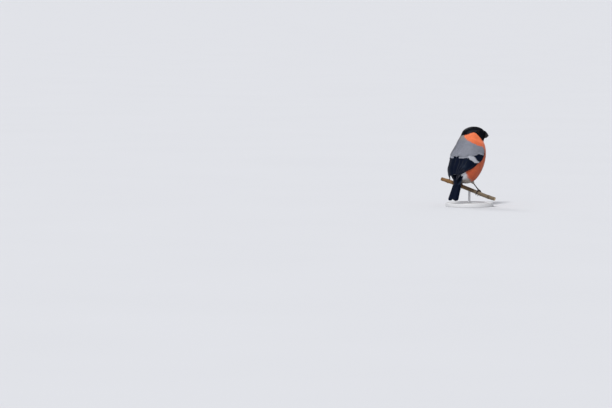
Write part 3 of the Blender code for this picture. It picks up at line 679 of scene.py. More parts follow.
def tufts(surface, row, column, length, width, lift, tint, down, form, chance, cell=WHOLE_MAP):
    """Small feathers rooted at rows and columns of a surface, laid along it with their tips off it."""
    points, tip, faces = form
    count = len(row)
    each = (count, len(points))
    root, up, flow = (grid_at(table, row, column) for table in (surface.points, surface.normal, surface.flow))
    up, flow = unit(up), unit(flow)
    flow = unit(flow - up * (flow * up).sum(-1, keepdims=True))
    yaw = chance.normal(0, 0.09, count)[:, None]
    ahead = unit(flow * np.cos(yaw) + np.cross(up, flow) * np.sin(yaw))
    length = length * chance.uniform(0.84, 1.16, count)
    width = width * chance.uniform(0.86, 1.14, count)
    half_way, half_up = surface.nearest(root + ahead * (length / 2)[:, None], up)
    first_half = half_way - root
    onward = unit(first_half - half_up * (first_half * half_up).sum(-1, keepdims=True))
    end, end_up = surface.nearest(half_way + onward * (length / 2)[:, None], half_up)

    s = np.clip(points[:, 1] + chance.normal(0, 0.04, each) * tip, 0, 1.08)[..., None]
    first, second, third = (1 - s) * (1 - 2 * s), 4 * s * (1 - s), s * (2 * s - 1)
    middle = first * root[:, None] + second * half_way[:, None] + third * end[:, None]
    normal = unit((1 - s) * up[:, None] + s * (half_up + end_up)[:, None] / 2)
    way = unit((1 - s) * first_half[:, None] + s * (end - half_way)[:, None] + 1e-9)
    roll = chance.normal(0, 0.03, count)[:, None, None]
    side = unit(np.cross(way, normal))
    a, wide, high = points[:, 0][None, :, None], width[:, None, None], lift[:, None, None]
    crest = (1 - (2 * a) ** 2) * 0.045 * wide
    own_lift = (lift * chance.uniform(0.95, 1.04, count))[:, None, None]
    height = -TUFT_SUNK * (1 - s) + own_lift * s ** 0.85 + crest
    height = height + roll * a * wide + tip[None, :, None] * chance.normal(0, 0.02, (*each, 1)) * high
    height[:, -1] -= 0.05 * width[:, None] + crest[:, -1]
    made = middle + side * a * wide + normal * height
    slope = (lift / length)[:, None, None] * 0.5
    shade = unit(normal + side * (a * 0.3 - roll * 0.8) + way * slope)

    own = np.broadcast_to(chance.uniform(0, 1, count)[:, None], each)
    vane = np.stack([points[:, 0] * width[:, None], s[..., 0] * length[:, None], own, s[..., 0]], -1)
    mix = eased(s, 0.10, 0.50)
    colour = np.asarray(down) * (1 - mix) + tint[:, None] * mix
    colour = np.concatenate([colour, np.ones((*each, 1))], -1)
    home = in_cell(cell, column / surface.size[1], row / surface.size[0])
    bake = home[:, None] + np.stack([points[:, 0], points[:, 1] - 0.5], -1)[None] * 0.003
    return {"points": made, "normals": shade, "vane": vane, "tint": colour, "bake": bake, "faces": faces}


def coat_pieces(name, groups, material, slot, *nodes):
    """Joins groups of small feathers into as few pieces as their triangles allow."""
    total = sum(len(group["points"]) * len(group["faces"]) for group in groups)
    parts = max(1, math.ceil(total / MOST_TRIANGLES))
    for part in range(parts):
        chosen = slice(part, None, parts)
        batch = {key: [] for key in ("faces", *TUFT_LAYERS)}
        offset = 0
        for group in groups:
            count, size = group["points"][chosen].shape[:2]
            starts = (np.arange(count) * size)[:, None, None] + offset
            batch["faces"].append((group["faces"][None] + starts).reshape(-1, 3))
            for key in TUFT_LAYERS:
                values = group[key][chosen]
                batch[key].append(values.reshape(-1, values.shape[-1]))
            offset += count * size
        made = {key: np.concatenate(values) for key, values in batch.items()}
        title = name if parts == 1 else f"{name}_{part + 1}"
        put_on(array_piece(title, material=material, **made), slot, *nodes)


# Markings

# Lower edge of the black cap: distance ahead of the neck's axis, and height.
CAP_EDGE = np.array([
    (-25, 118.2), (-18.3, 119.0), (-12.4, 120.3), (-5.8, 122.0), (-1.0, 123.3), (1.9, 123.7), (4.0, 123.0),
    (7.1, 120.7), (11.5, 117.3), (14.9, 113.8), (17.4, 110.0), (20.5, 107.2), (22.5, 106.0),
])
# Lower edge of the red neck against the grey mantle: degrees from the back, and place on the body.
NECK_EDGE = np.array([
    (0, 13.0), (17, 12.0), (22, 10.4), (27, 9.3), (34, 8.75), (45, 8.4), (57, 8.1), (69, 7.85), (87, 7.6),
    (93, 7.35), (99, 6.85), (104, 5.6), (108, 3.0),
])
# Back edge of the red flank, under the wing: place, and degrees from the back.
FLANK_EDGE = np.array([(1.5, 46), (3.0, 46), (4.0, 48), (5.0, 60), (6.0, 76), (6.85, 99), (7.5, 110)])
# Upper edge of the white vent against the red belly: degrees from the back, and place.
VENT_EDGE = np.array([(0, 3.4), (40, 3.25), (57, 2.7), (84, 2.12), (120, 2.2), (147, 2.4), (180, 2.3)])
# Upper edge of the blue-black over the tail's root, in the same terms.
TAIL_EDGE = np.array([(0, 1.9), (25, 1.6), (60, 1.35)])


def along_edge(value, edge):
    """Second column of an edge's table, where its first column has this value."""
    return np.interp(value, edge[:, 0], edge[:, 1])


def markings(place, angle):
    """Shares of red, grey, black and white at places and angles on the body."""
    degrees = np.abs(np.degrees(angle))
    straight = body_points(place, angle, 0.0, True)
    ripple = 0.25 * np.sin(degrees * 0.9 + place * 5) + 0.2 * np.sin(degrees * 0.37 - place * 9)
    over_edge = straight[..., 2] - along_edge(straight[..., 0] - NECK_AXIS_X, CAP_EDGE)
    cap = eased(over_edge + ripple * 0.6, -0.12, 0.18) * eased(place, 8.6, 8.9)
    neck = eased(place - along_edge(degrees, NECK_EDGE) + ripple * 0.05, -0.05, 0.06)
    flank = eased(degrees - along_edge(place, FLANK_EDGE) + ripple, -2, 2)
    vent = eased(along_edge(degrees, VENT_EDGE) - place + ripple * 0.25, -0.25, 0.3)
    tail_black = eased(along_edge(degrees, TAIL_EDGE) - place, -0.03, 0.05) * eased(62 - degrees, -4, 6)
    black = np.maximum(cap, tail_black)
    white = vent * (1 - black)
    red = np.maximum(neck, flank) * (1 - black) * (1 - white)
    grey = np.clip(1 - red - black - white, 0, 1)
    return np.stack([red, grey, black, white], -1)


def body_tint(place, angle):
    """Colour of the plumage on the body, and the shares of red, grey, black and white in it."""
    def between(low, high, share):
        return np.array(low) * (1 - share[..., None]) + np.array(high) * share[..., None]

    shares = markings(place, angle)
    degrees = np.abs(np.degrees(angle))
    # Red darkens towards the belly, partly as painted shade.
    red = between(RED_BELLY_WITH_SHADE, RED_BREAST, eased(place, 3.0, 8.5))
    cheeky = eased(place, 8.0, 9.5) * eased(150 - degrees, 0, 50)
    red = red * (1 - cheeky[..., None]) + np.array(RED_CHEEK) * cheeky[..., None]
    grey = between(GREY, GREY_NAPE, eased(place, 8.2, 9.2))
    # White darkens towards the underside and the vent as painted shade.
    white = between(WHITE, SHADED_VENT_WHITE, eased(degrees, 60, 110))
    mixed = (shares[..., 0:1] * red + shares[..., 1:2] * grey + shares[..., 3:4] * white
             + shares[..., 2:3] * np.array(BLACK))
    return mixed, shares


def coat_depth(place):
    """How far the skin lies under the outline."""
    return np.interp(place, (0, 2, 7, 9, 11, 13, 15, 16), (0.9, 1.3, 1.3, 1.0, 0.75, 0.6, 0.42, 0.3))


# Skin

ROW_STEP = 0.125
ROOT_DEPTH = 0.6
SKIN_COLUMNS = 144
# How deep the skin is sunk under each eyeball.
EYE_SOCKET = 2.6
# Rings of the tail's fleshy root: share of the way to it, size, and depth behind the body's end.
TAIL_PLUG = ((0.0, 0.86, 0.6), (0.35, 0.74, 4.0), (0.7, 0.52, 9.0), (1.0, 0.22, 12.0))


def body_grid(inset):
    """Rows of points over the body from the tail root to the bill, with their places and angles."""
    place = np.arange(0, LAST_PLACE + ROW_STEP / 2, ROW_STEP)
    angle = np.linspace(0, 2 * math.pi, SKIN_COLUMNS, endpoint=False)
    place, angle = np.meshgrid(place, angle, indexing="ij")
    angle = np.where(angle > math.pi, angle - 2 * math.pi, angle)
    return body_points(place, angle, inset(place, angle)), place, angle


def skin_inset(place, angle):
    """The coat's depth, and deeper where a wing is tucked into the side."""
    degrees = np.abs(np.degrees(angle))
    beside = eased(degrees, 6, 14) * eased(104 - degrees, 0, 8)
    under_wing = beside * eased(7.7 - place, 0, 0.4) * eased(place, 3.5, 4.5)
    return coat_depth(place) + np.maximum(0.35 - wing_floor(place), 0) * under_wing


def eye_offsets(points, side):
    """Directions away from the eye's axis, distances from it, and whether points are on its side."""
    away = points - eye_middle(side)
    high = away @ eye_axis(side)
    flat = away - high[..., None] * eye_axis(side)
    return unit(flat), np.linalg.norm(flat, axis=-1), high > 0


def eye_swell(points, sink):
    """Head raised a little round each eye, and sunk by so much under the eyeball."""
    points = points.copy()
    for side in SIDES.values():
        _, far, near = eye_offsets(points, side)
        rise = EYE_SWELL * (1 - eased(far, 2.4, 6.5)) - sink * (1 - eased(far, 2.2, 3.4))
        points += eye_axis(side) * (rise * near)[..., None]
    return points


def tail_axes():
    """Unit vectors down the tail, out of its upper side, and to the bird's left."""
    ahead = np.array([-math.sin(TAIL_LEAN), 0, -math.cos(TAIL_LEAN)])
    over = np.array([-math.cos(TAIL_LEAN), 0, math.sin(TAIL_LEAN)])
    return ahead, over, np.array([0.0, 1.0, 0.0])


def tail_spot(along, across, lift):
    ahead, over, left = tail_axes()
    along, across, lift = (np.asarray(value, float)[..., None] for value in (along, across, lift))
    return TAIL_ROOT + ahead * along + left * across + over * lift


def tail_plug():
    """Rings of the fleshy root of the tail, from the body's end backwards."""
    rear = rows_at(BODY, 0.0)
    angle = np.linspace(0, 2 * math.pi, SKIN_COLUMNS, endpoint=False)
    outline = section_points(np.broadcast_to(rear, (SKIN_COLUMNS, 6)), angle)
    middle = np.array([(rear[0] + rear[2]) / 2, 0, (rear[1] + rear[3]) / 2])
    ahead, over, _ = tail_axes()
    rings = []
    for share, grow, depth in TAIL_PLUG:
        flat = middle + (outline - middle) * grow + ahead * depth
        lean = (flat - TAIL_ROOT) @ over
        rings.append(flat - over * (lean * 0.55 * share)[:, None])
    return np.array(rings[::-1])


def leg_line(side):
    """Sole of a foot on the twig, and the leg's direction down to it."""
    sole = round_twig(side, 0.0, 0.0, TOE_RISE)
    return sole, unit(sole - ANKLE[side])


def thigh_rings(side, inset, sides=36):
    """Rings of a thigh from its sleeve end upwards, this far under its feathers."""
    sole, way = leg_line(side)
    low = sole - way * SLEEVE_END[side]
    rises = np.array([0.4, 1.2, 2.2, 3.5, 5.0, 7.0, 9.5, 12.0])
    radii = np.interp(rises, (0, 1.2, 3.5, 7.0, 12.0), (1.5, 2.1, 3.1, 4.6, 6.0)) - inset
    return tube_rings(low - way * rises[:, None], radii, sides, TWIG_ALONG)


def fuse_thigh(skin, finish, name, side):
    """Joins the skin of one thigh to the skin of the body."""
    points, faces = capped_grid(thigh_rings(side, 0.8))
    # The thigh's skin takes the vent's white, with its painted shade.
    pale = np.tile((*SHADED_VENT_WHITE, 1.0), (len(points), 1))
    spots = np.tile((0.5, 0.5), (len(points), 1))
    thigh = array_piece("thigh_under_" + name, points, faces, finish, tint=pale, bake=spots)
    fused = skin.modifiers.new("fuse", "BOOLEAN")
    fused.operation, fused.solver, fused.object = "UNION", "EXACT", thigh
    bpy.context.view_layer.objects.active = skin
    bpy.ops.object.modifier_apply(modifier=fused.name)
    bpy.data.objects.remove(thigh)


def make_skin():
    """One skin over head, neck, body and thighs, with the same markings as the coat."""
    grid, place, angle = body_grid(skin_inset)
    grid = eye_swell(grid, EYE_SOCKET)
    plug = tail_plug()
    front = grid[-1].mean(0) + (grid[-1] - grid[-1].mean(0)) * 0.7 + turned_way((0.25, 0, 0))
    points, faces = capped_grid(np.concatenate([plug, grid, front[None]]))
    tint, _ = body_tint(place, angle)
    tint = np.concatenate([np.broadcast_to(tint[0], plug.shape), tint, tint[-1:]]).reshape(-1, 3)
    tint = np.concatenate([tint, tint[:1], tint[-1:]])
    tint = np.concatenate([tint, np.ones((len(tint), 1))], 1)
    shares = (np.linspace(0.02, 0.98, count) for count in (len(plug) + len(grid) + 1, SKIN_COLUMNS))
    flat = np.stack(np.meshgrid(*shares, indexing="ij")[::-1], -1)
    bake = np.concatenate([flat.reshape(-1, 2), [(0.5, 0.01), (0.5, 0.99)]])
    finish = skin_finish()
    skin = array_piece("skin", points, faces, finish, tint=tint, bake=bake)
    for name, side in SIDES.items():
        fuse_thigh(skin, finish, name, side)
    skin.data.shade_smooth()
    put_on(skin, "grey_plumage", "torso", "neck", "head", "thigh_left", "thigh_right")


# Coat of the body

# Part of the body that the folded wings cover: places, and degrees inside the edges of their beds.
COVERED_FROM, COVERED_TO, COVERED_ROOM = 3.4, 7.35, 4.0
# Least distance of a feather's root from an eye's axis.
EYE_CLEAR = 2.34
# Length of the small feathers at places on the body, and their spacing and width as shares of it.
COAT_PLACES = (0, 2, 4, 7, 9, 10.5, 12, 14, 15.2, 16)
COAT_LENGTHS = (4.8, 4.8, 4.6, 4.4, 3.6, 2.9, 2.3, 1.7, 1.2, 0.95)
COAT_SPACING, COAT_WIDTH = 0.175, 0.58
# Feathers longer than this have the finer form.
LONG_FEATHER = 2.8


def in_wing(place, angle):
    """Whether a root lies under a folded wing."""
    found = np.zeros(place.shape, bool)
    for side in SIDES.values():
        degrees = np.degrees(angle) * side
        top, low = wing_edges(side, place)
        beside = (degrees > top + COVERED_ROOM) & (degrees < low - COVERED_ROOM)
        found |= beside & (place > COVERED_FROM) & (place < COVERED_TO)
    return found


def grid_place(row):
    return row * ROW_STEP


def grid_angle(column):
    angle = column * 2 * math.pi / SKIN_COLUMNS
    return np.where(angle > math.pi, angle - 2 * math.pi, angle)


# Share of down grey in the hidden base of a small feather.
HIDDEN_GREY = {"red": 0.15, "grey": 0.4, "black": 0.0, "white": 0.25}


def coat_surface():
    """Sheet that the coat's roots lie on, with its feathers parted round the eyes."""
    grid, _, _ = body_grid(lambda place, angle: coat_depth(place) * ROOT_DEPTH)
    surface = Surface(eye_swell(grid, 0.0), grid.mean(1), wrap=True)
    for side in SIDES.values():
        outward, far, near = eye_offsets(surface.points, side)
        toward = np.minimum((surface.flow * outward).sum(-1), 0) * near * (1 - eased(far, 3.0, 6.0))
        surface.flow = unit(surface.flow - outward * toward[..., None] * 1.2)
    return surface


def body_coat():
    """Small feathers all over the body, sorted by their marking."""
    surface = coat_surface()
    chance = np.random.default_rng(COAT_SEED)

    def length(row, column):
        place, degrees = grid_place(row), np.abs(np.degrees(grid_angle(column)))
        throat = eased(degrees, 120, 165) * eased(place, 9.5, 13)
        spots = grid_at(surface.points, row, column)
        far = np.minimum(eye_offsets(spots, LEFT)[1], eye_offsets(spots, RIGHT)[1])
        by_place = np.interp(place, COAT_PLACES, COAT_LENGTHS)
        return by_place * (1 - 0.35 * throat) * (0.55 + 0.45 * eased(far, 2.4, 6.0))

    def wanted(row, column):
        keep = ~in_wing(grid_place(row), grid_angle(column))
        spots = grid_at(surface.points, row, column)
        for side in SIDES.values():
            _, far, near = eye_offsets(spots, side)
            keep &= (far > EYE_CLEAR) | ~near
        return keep

    row, column = surface.spread(chance, lambda r, c: length(r, c) * COAT_SPACING, wanted)
    long = length(row, column)
    place, angle = grid_place(row), grid_angle(column)
    tint, shares = body_tint(np.clip(place - 0.06 * long, 0, LAST_PLACE), angle)
    kind = np.argmax(shares + chance.normal(0, 0.06, shares.shape), 1)
    lift = coat_depth(place) * (ROOT_DEPTH - 0.05)
    fine, plain = tuft_form(9, 0.38), tuft_form(6, 0.39)
    groups = {zone: [] for zone in HIDDEN_GREY}
    for index, (zone, hidden) in enumerate(HIDDEN_GREY.items()):
        for form, fits in ((fine, long > LONG_FEATHER), (plain, long <= LONG_FEATHER)):
            own = (kind == index) & fits
            if own.any():
                down = np.array(DOWN_GREY) * hidden + tint[own].mean(0) * (1 - hidden)
                groups[zone].append(tufts(surface, row[own], column[own], long[own], long[own] * COAT_WIDTH,
                                          lift[own], tint[own], down, form, chance))
    return groups


# Feather vanes of wings and tail

# Points across a large feather, shares of its length at which its rows lie, and its thickness.
VANE_COLUMNS = np.array([-1.0, -0.86, -0.55, -0.22, -0.05, 0.0, 0.05, 0.22, 0.55, 0.86, 1.0])
VANE_ROWS = 28
VANE_SHARE = 1 - (1 - np.linspace(0, 1, VANE_ROWS)) ** 1.6
VANE_THICK, VANE_EDGE = 0.16, 0.03
SHAFT_HIGH, SHAFT_WIDE = 0.16, 0.045


def vane_profile(share, tip=0.28, base=0.42, blunt=2.2):
    """Half width along a feather: narrow at its base, and rounded at its tip."""
    body = base + (1 - base) * eased(share, 0, 0.3)
    end = np.clip((share - (1 - tip)) / tip, 0, 1)
    return body * np.maximum(1 - end ** blunt, 0) ** (1 / blunt) + 0.012


def vane_faces():
    """Triangles of a large feather: its upper and under side all round, and then both ends."""
    around = 2 * len(VANE_COLUMNS)
    faces = [grid_faces(VANE_ROWS, around, True)]
    for base in (0, (VANE_ROWS - 1) * around):
        for column in range(len(VANE_COLUMNS) - 1):
            a, b = base + column, base + column + 1
            c, d = base + around - 2 - column, base + around - 1 - column
            ends = [(a, b, c), (a, c, d)]
            faces.append(ends if base == 0 else [end[::-1] for end in ends])
    return np.concatenate(faces)


def vane_group(centres, normals, width, tints, chance, profile, cell, camber=0.10, roll=0.0, nicks=0,
               fray=0.12):
    """One large feather along its centres, as a thin solid with a raised shaft."""
    def both_sides(upper, lower):
        return np.concatenate([upper, lower[:, ::-1]], 1)

    around = 2 * len(VANE_COLUMNS)
    share, t = VANE_SHARE[:, None], np.tile(VANE_COLUMNS, (VANE_ROWS, 1))
    half = (width / 2 * profile)[:, None]
    ahead = unit(np.gradient(centres, axis=0))
    normals = unit(normals * math.cos(roll) + np.cross(ahead, normals) * math.sin(roll))
    side = unit(np.cross(ahead, normals))
    edge = np.ones((VANE_ROWS, 2))
    for _ in range(nicks):
        where = chance.integers(int(VANE_ROWS * 0.35), VANE_ROWS - 3)
        edge[where, chance.integers(0, 2)] *= chance.uniform(0.88, 0.95)
    spread = np.where(t < 0, t * edge[:, :1], t * edge[:, 1:]) * half
    shaft = SHAFT_HIGH * np.exp(-(t / SHAFT_WIDE) ** 2) * (1 - 0.6 * share)
    ripple = 0.05 * np.sin(t * 3 + chance.uniform(0, 6)) * np.sin(share * 9 + chance.uniform(0, 6))
    height = -camber * t ** 2 * half * 2 + shaft + ripple + VANE_THICK / 2
    top = centres[:, None] + side[:, None] * spread[..., None] + normals[:, None] * height[..., None]
    slip = chance.normal(0, fray, len(VANE_COLUMNS)) * eased(share, 0.7, 1)
    top = top + ahead[:, None] * slip[..., None]
    thick = np.where(np.abs(t) < 0.99, VANE_THICK, VANE_EDGE) + shaft * 0.8
    points = both_sides(top, top - normals[:, None] * thick[..., None])
    flat = points.reshape(-1, 3)
    faces = facing_out(flat - flat.mean(0), vane_faces())

    facing = np.broadcast_to(normals[:, None], top.shape)
    out = unit(both_sides(facing, -facing) + side[:, None] * (both_sides(t, t) * camber * 2.2)[..., None])
    long = np.concatenate([[0], np.cumsum(np.linalg.norm(np.diff(centres, axis=0), axis=1))])[:, None]
    own = np.full((VANE_ROWS, around), chance.uniform())
    long, share = np.repeat(long, around, 1), np.repeat(share, around, 1)
    vane = np.stack([both_sides(spread, spread), long, own, share], -1)
    # The under side of each large feather is painted darker, at 0.8 of its tint, as shade.
    colour = np.concatenate([both_sides(tints, tints * 0.8), np.ones((VANE_ROWS, around, 1))], -1)
    u = t * 0.24 + 0.25
    bake = in_cell(cell, both_sides(u, 1 - u), share)
    layers = dict(zip(TUFT_LAYERS, (points, out, vane, colour, bake)))
    made = {key: values.reshape(1, VANE_ROWS * around, -1) for key, values in layers.items()}
    return {**made, "faces": faces}


def polyline(knots, share):
    """Point (place, across) at a share along evenly spaced knots."""
    knots = np.asarray(knots, float)
    at = np.linspace(0, 1, len(knots))
    return np.array([np.interp(share, at, knots[:, column]) for column in range(2)])


# Each tier of a wing: how many feathers, their roots and tips as (place, across) from the inner one to the
# outer one, lift over the bed at root and tip, first and last width, and how the tip is rounded.
WING_TIERS = {
    "primaries": (
        9, ((5.0, 0.80), (5.6, 0.93)), ((1.5, 0.72), (1.1, 0.76), (0.65, 0.82), (0.05, 0.89), (-0.55, 0.95)),
        (0.5, 0.7), (6.6, 5.2), 0.26),
    "secondaries": (6, ((5.0, 0.42), (5.2, 0.80)), ((1.8, 0.44), (1.35, 0.80)), (1.5, 1.4), (8.4, 7.4), 0.22),
    "tertials": (
        3, ((5.3, 0.34), (5.3, 0.04)), ((1.1, 0.40), (1.1, 0.24), (1.15, 0.07)),
        (2.0, 2.0), (9.0, 10.4), 0.26),
    "primary_coverts": (
        6, ((6.4, 0.84), (6.7, 0.96)), ((4.3, 0.84), (4.9, 0.94)), (1.6, 1.4), (4.6, 3.6), 0.30),
    "greater_coverts": (
        8, ((6.5, 0.90), (6.4, 0.44)), ((4.95, 0.91), (4.75, 0.80), (4.85, 0.66), (5.12, 0.52), (5.3, 0.44)),
        (2.0, 2.5), (6.2, 7.0), 0.42),
    "alula": (3, ((7.0, 0.90), (7.1, 0.97)), ((5.6, 0.92), (6.1, 0.97)), (2.0, 2.1), (3.4, 2.6), 0.35),
    "median_coverts": (
        7, ((7.1, 0.88), (6.9, 0.50)), ((6.1, 0.89), (6.22, 0.70), (5.95, 0.60), (5.6, 0.50)),
        (1.9, 2.6), (6.0, 6.4), 0.5),
    "scapulars": (
        6, ((6.4, 0.44), (6.5, 0.12)), ((5.3, 0.46), (5.18, 0.32), (5.0, 0.20), (4.95, 0.11)),
        (1.7, 2.8), (7.4, 7.4), 0.55),
}
GREY_TIERS = ("median_coverts", "scapulars")
SOFT_TIERS = ("greater_coverts", *GREY_TIERS)
QUILL_TIERS = ("tertials", "secondaries")
# How much lower the tips of the left wing's inner feathers lie, over the side of the tail.
LEFT_DROP = {"secondaries": 0.9, "tertials": 0.45}
# Width at a feather's base as a share of its greatest width, where a tier has its own.
BASE_SHARE = {"tertials": 0.75, "scapulars": 0.7}
# Bluntness of a feather's tip, where a tier has its own.
BLUNT = {"primaries": 1.8, "primary_coverts": 1.8, "alula": 1.8}
# Rise of each tier from its outermost feather to its innermost one.
STACK = {
    "primaries": 0.5, "secondaries": 0.4, "tertials": 0.4, "primary_coverts": 0.3,
    "greater_coverts": 0.4, "alula": 0.3, "median_coverts": 0.2, "scapulars": 0.1,
}
# Share of each greater covert, from the outer one inwards, at which its pale tip starts.
BAR_START = (0.90, 0.82, 0.74, 0.68, 0.60, 0.54, 0.52, 0.50)
# Degrees by which each large feather of a wing is tilted, so that the one inside it lies on top.
ROLL = 6.5
# Place on the wing at which its fleshy arm ends.
CORE_END = 3.3


def vane_tints(tier, index):
    """Colour over one large feather, from its tier."""
    t, s = np.meshgrid(VANE_COLUMNS, VANE_SHARE)
    blue, grey, bar = np.array(BLUE_BLACK), np.array(GREY), np.array(BAR_GREY)
    colour = np.broadcast_to(blue, (*s.shape, 3))

    def blend(target, mask):
        return colour * (1 - mask[..., None]) + np.asarray(target) * mask[..., None]

    if tier == "primaries":
        colour = blend(QUILL_BROWN, eased(s, 0.4, 1.0) * 0.4)
        colour = blend(bar * 0.25, eased(np.abs(t), 0.88, 1.0) * eased(s, 0.55, 0.7))
    elif tier in QUILL_TIERS:
        # Tertials and secondaries get paler edges as a painted highlight of their gloss.
        colour = blend(bar * 0.09, eased(np.abs(t), 0.80, 1.0) * eased(s, 0.05, 0.2))
    elif tier == "greater_coverts":
        colour = blend(bar, eased(s + 0.03 * np.cos(t * 3), BAR_START[index] - 0.03, BAR_START[index] + 0.05))
    elif tier in GREY_TIERS:
        colour = blend(grey, np.ones_like(s))
        colour = blend(grey * 1.12, eased(s, 0.82, 1.0))
    return colour


def wing_vanes(side, chance):
    """The wing's large feathers, as dark and grey groups."""
    dark, grey = [], []
    for tier, (count, roots, tips, lifts, widths, rounding) in WING_TIERS.items():
        profile = vane_profile(VANE_SHARE, rounding, BASE_SHARE.get(tier, 0.42), BLUNT.get(tier, 2.2))
        for index in range(count):
            part = index / (count - 1)
            root, tip = polyline(roots, part), polyline(tips, part)
            tip[0] += chance.uniform(-0.05, 0.05) - (LEFT_DROP.get(tier, 0) if side == LEFT else 0)
            place = root[0] + (tip[0] - root[0]) * VANE_SHARE
            across = root[1] + (tip[1] - root[1]) * VANE_SHARE
            if tier == "tertials":
                across = across + 0.05 * np.sin(math.pi * VANE_SHARE)
            stack = STACK[tier] * (part if roots[0][1] > roots[1][1] else 1 - part)
            lift = lifts[0] + (lifts[1] - lifts[0]) * VANE_SHARE + stack
            made = vane_group(
                wing_points(side, place, across, lift), wing_frames(side, place, across)[1],
                widths[0] + (widths[1] - widths[0]) * part, vane_tints(tier, index), chance, profile,
                bake_cell(len(dark) + len(grey)), roll=-math.radians(ROLL) * side,
                nicks=1 if tier in QUILL_TIERS else 0, fray=0.3 if tier in SOFT_TIERS else 0.12)
            (grey if tier in GREY_TIERS else dark).append(made)
    return dark, grey


def core_at(place):
    """The fleshy arm at places on a wing: its thickness, and where it starts and ends across the wing."""
    tables = (CORE_THICK, CORE_TOP, CORE_LOW)
    return (np.interp(place, CORE_PLACES[::-1], table[::-1]) for table in tables)


def core_lift(place, across):
    """Height of the fleshy arm over the wing's bed."""
    thick, top, low = core_at(place)
    share = np.clip((across - top) / (low - top), 0, 1)
    return (1 - (2 * share - 1) ** 4) * (thick - 0.5) + 0.5


def wing_core(side, inset):
    """Rings of the arm under the wing's feathers."""
    places, share = np.linspace(CORE_PLACES[0], CORE_END, 30), np.linspace(0, 1, 15)
    _, top, low = core_at(places)
    across = top[:, None] + (low - top)[:, None] * share
    place = np.repeat(places[:, None], len(share), 1)
    outer = wing_points(side, place, across, np.maximum(core_lift(place, across) - inset, 0.15))
    inner = wing_points(side, place, across, np.full_like(place, 0.05))
    return np.concatenate([outer, inner[:, ::-1]], 1)


# Where grey small feathers end on the wing: share across it from the back to its front edge, and place.
WING_GREY_EDGE = np.array([
    (0.0, 5.05), (0.11, 5.05), (0.23, 5.2), (0.38, 5.3), (0.5, 5.45), (0.59, 5.85), (0.65, 6.3),
    (0.89, 6.15), (1.0, 6.3),
])
# Sheet of the wing's small feathers: its rows and columns, the places and shares across that it spans, its
# height over the bed, and how far the feathers' tips stand off it.
WING_SHEET = (70, 60)
SHEET_PLACES, SHEET_ACROSS = (4.7, 7.62), (-0.06, 1.0)
CROWN = ((4.7, 5.3, 5.7, 6.3, 7.0, 7.62), (3.5, 3.6, 3.6, 3.2, 2.6, 2.1))
WING_TUFT_LIFT = 0.75


def mottled(colour, count, low, high, chance):
    """One colour for each feather, a little brighter or darker."""
    return np.tile(colour, (count, 1)) * chance.uniform(low, high, (count, 1))


def wing_coat(side, chance):
    """Grey scapulars and lesser coverts, as small feathers over the upper arm."""
    rows, columns = WING_SHEET
    place, across = np.linspace(*SHEET_PLACES, rows), np.linspace(*SHEET_ACROSS, columns)
    place, across = np.meshgrid(place, across, indexing="ij")
    edge = np.minimum(eased(across, -0.08, 0.04), eased(1.01 - across, 0, 0.08))
    flush = 0.1 - wing_floor(place)
    lift = flush + (np.interp(place, *CROWN) - flush) * edge
    grid = wing_points(side, place, across, lift - WING_TUFT_LIFT)
    inside = np.stack([np.full(rows, -4.0), np.zeros(rows), grid[:, columns // 2, 2]], 1)
    surface = Surface(grid, inside)

    def spot(row, column):
        here = SHEET_PLACES[0] + row / (rows - 1) * (SHEET_PLACES[1] - SHEET_PLACES[0])
        return here, SHEET_ACROSS[0] + column / (columns - 1) * (SHEET_ACROSS[1] - SHEET_ACROSS[0])

    def length(row, column):
        here, beside = spot(row, column)
        return np.interp(here, (5, 6, 7, 7.6), (6.6, 5.6, 4.2, 3.6)) * (1 - 0.25 * eased(beside, 0.5, 0.9))

    def wanted(row, column):
        here, beside = spot(row, column)
        tip = here - length(row, column) / 9.3
        return (tip > along_edge(beside, WING_GREY_EDGE) + 0.12) & (beside < 0.96)

    row, column = surface.spread(chance, lambda r, c: length(r, c) * 0.2, wanted)
    long = length(row, column)
    return tufts(surface, row, column, long, long * 0.6, np.full(len(row), WING_TUFT_LIFT),
                 mottled(GREY, len(row), 0.96, 1.06, chance), DOWN_GREY, tuft_form(6, 0.37), chance,
                 (0.02, 0.02, 0.96, 0.46))


def make_wing(name, side, chance):
    """One folded wing: its fleshy arm, its flight feathers and its grey coverts."""
    dark, grey = wing_vanes(side, chance)
    points, faces = capped_grid(wing_core(side, 0.25))
    tint = np.tile((*BLUE_BLACK, 1.0), (len(points), 1))
    bake = np.stack([points[:, 1] / 60 + 0.5, points[:, 2] / 120 - 0.2], -1)
    arm = array_piece("wing_arm_" + name, points, faces, PLUMES["black"], tint=tint, bake=bake,
                      vane=np.zeros((len(points), 4)))
    put_on(arm, "flight_feathers", "wing_" + name)
    coat_pieces("flight_feathers_" + name, dark, FLIGHT, "flight_feathers", "wing_" + name)
    coat_pieces("grey_coverts_" + name, [*grey, wing_coat(side, chance)], PLUMES["grey"], "grey_plumage")


# Rows of coverts over the tail: place on the body of their roots, reach down the tail, height over it, count.
OVER_TAIL = ((1.75, 7.0, 3.3, 9), (1.25, 11.0, 2.8, 9), (0.75, 15.0, 2.3, 8))
# Rows of coverts under the tail: height over it, count, reach down it.
UNDER_TAIL = ((-3.4, 8, 18.0), (-3.9, 7, 13.0))
TAIL_PAIRS = 6


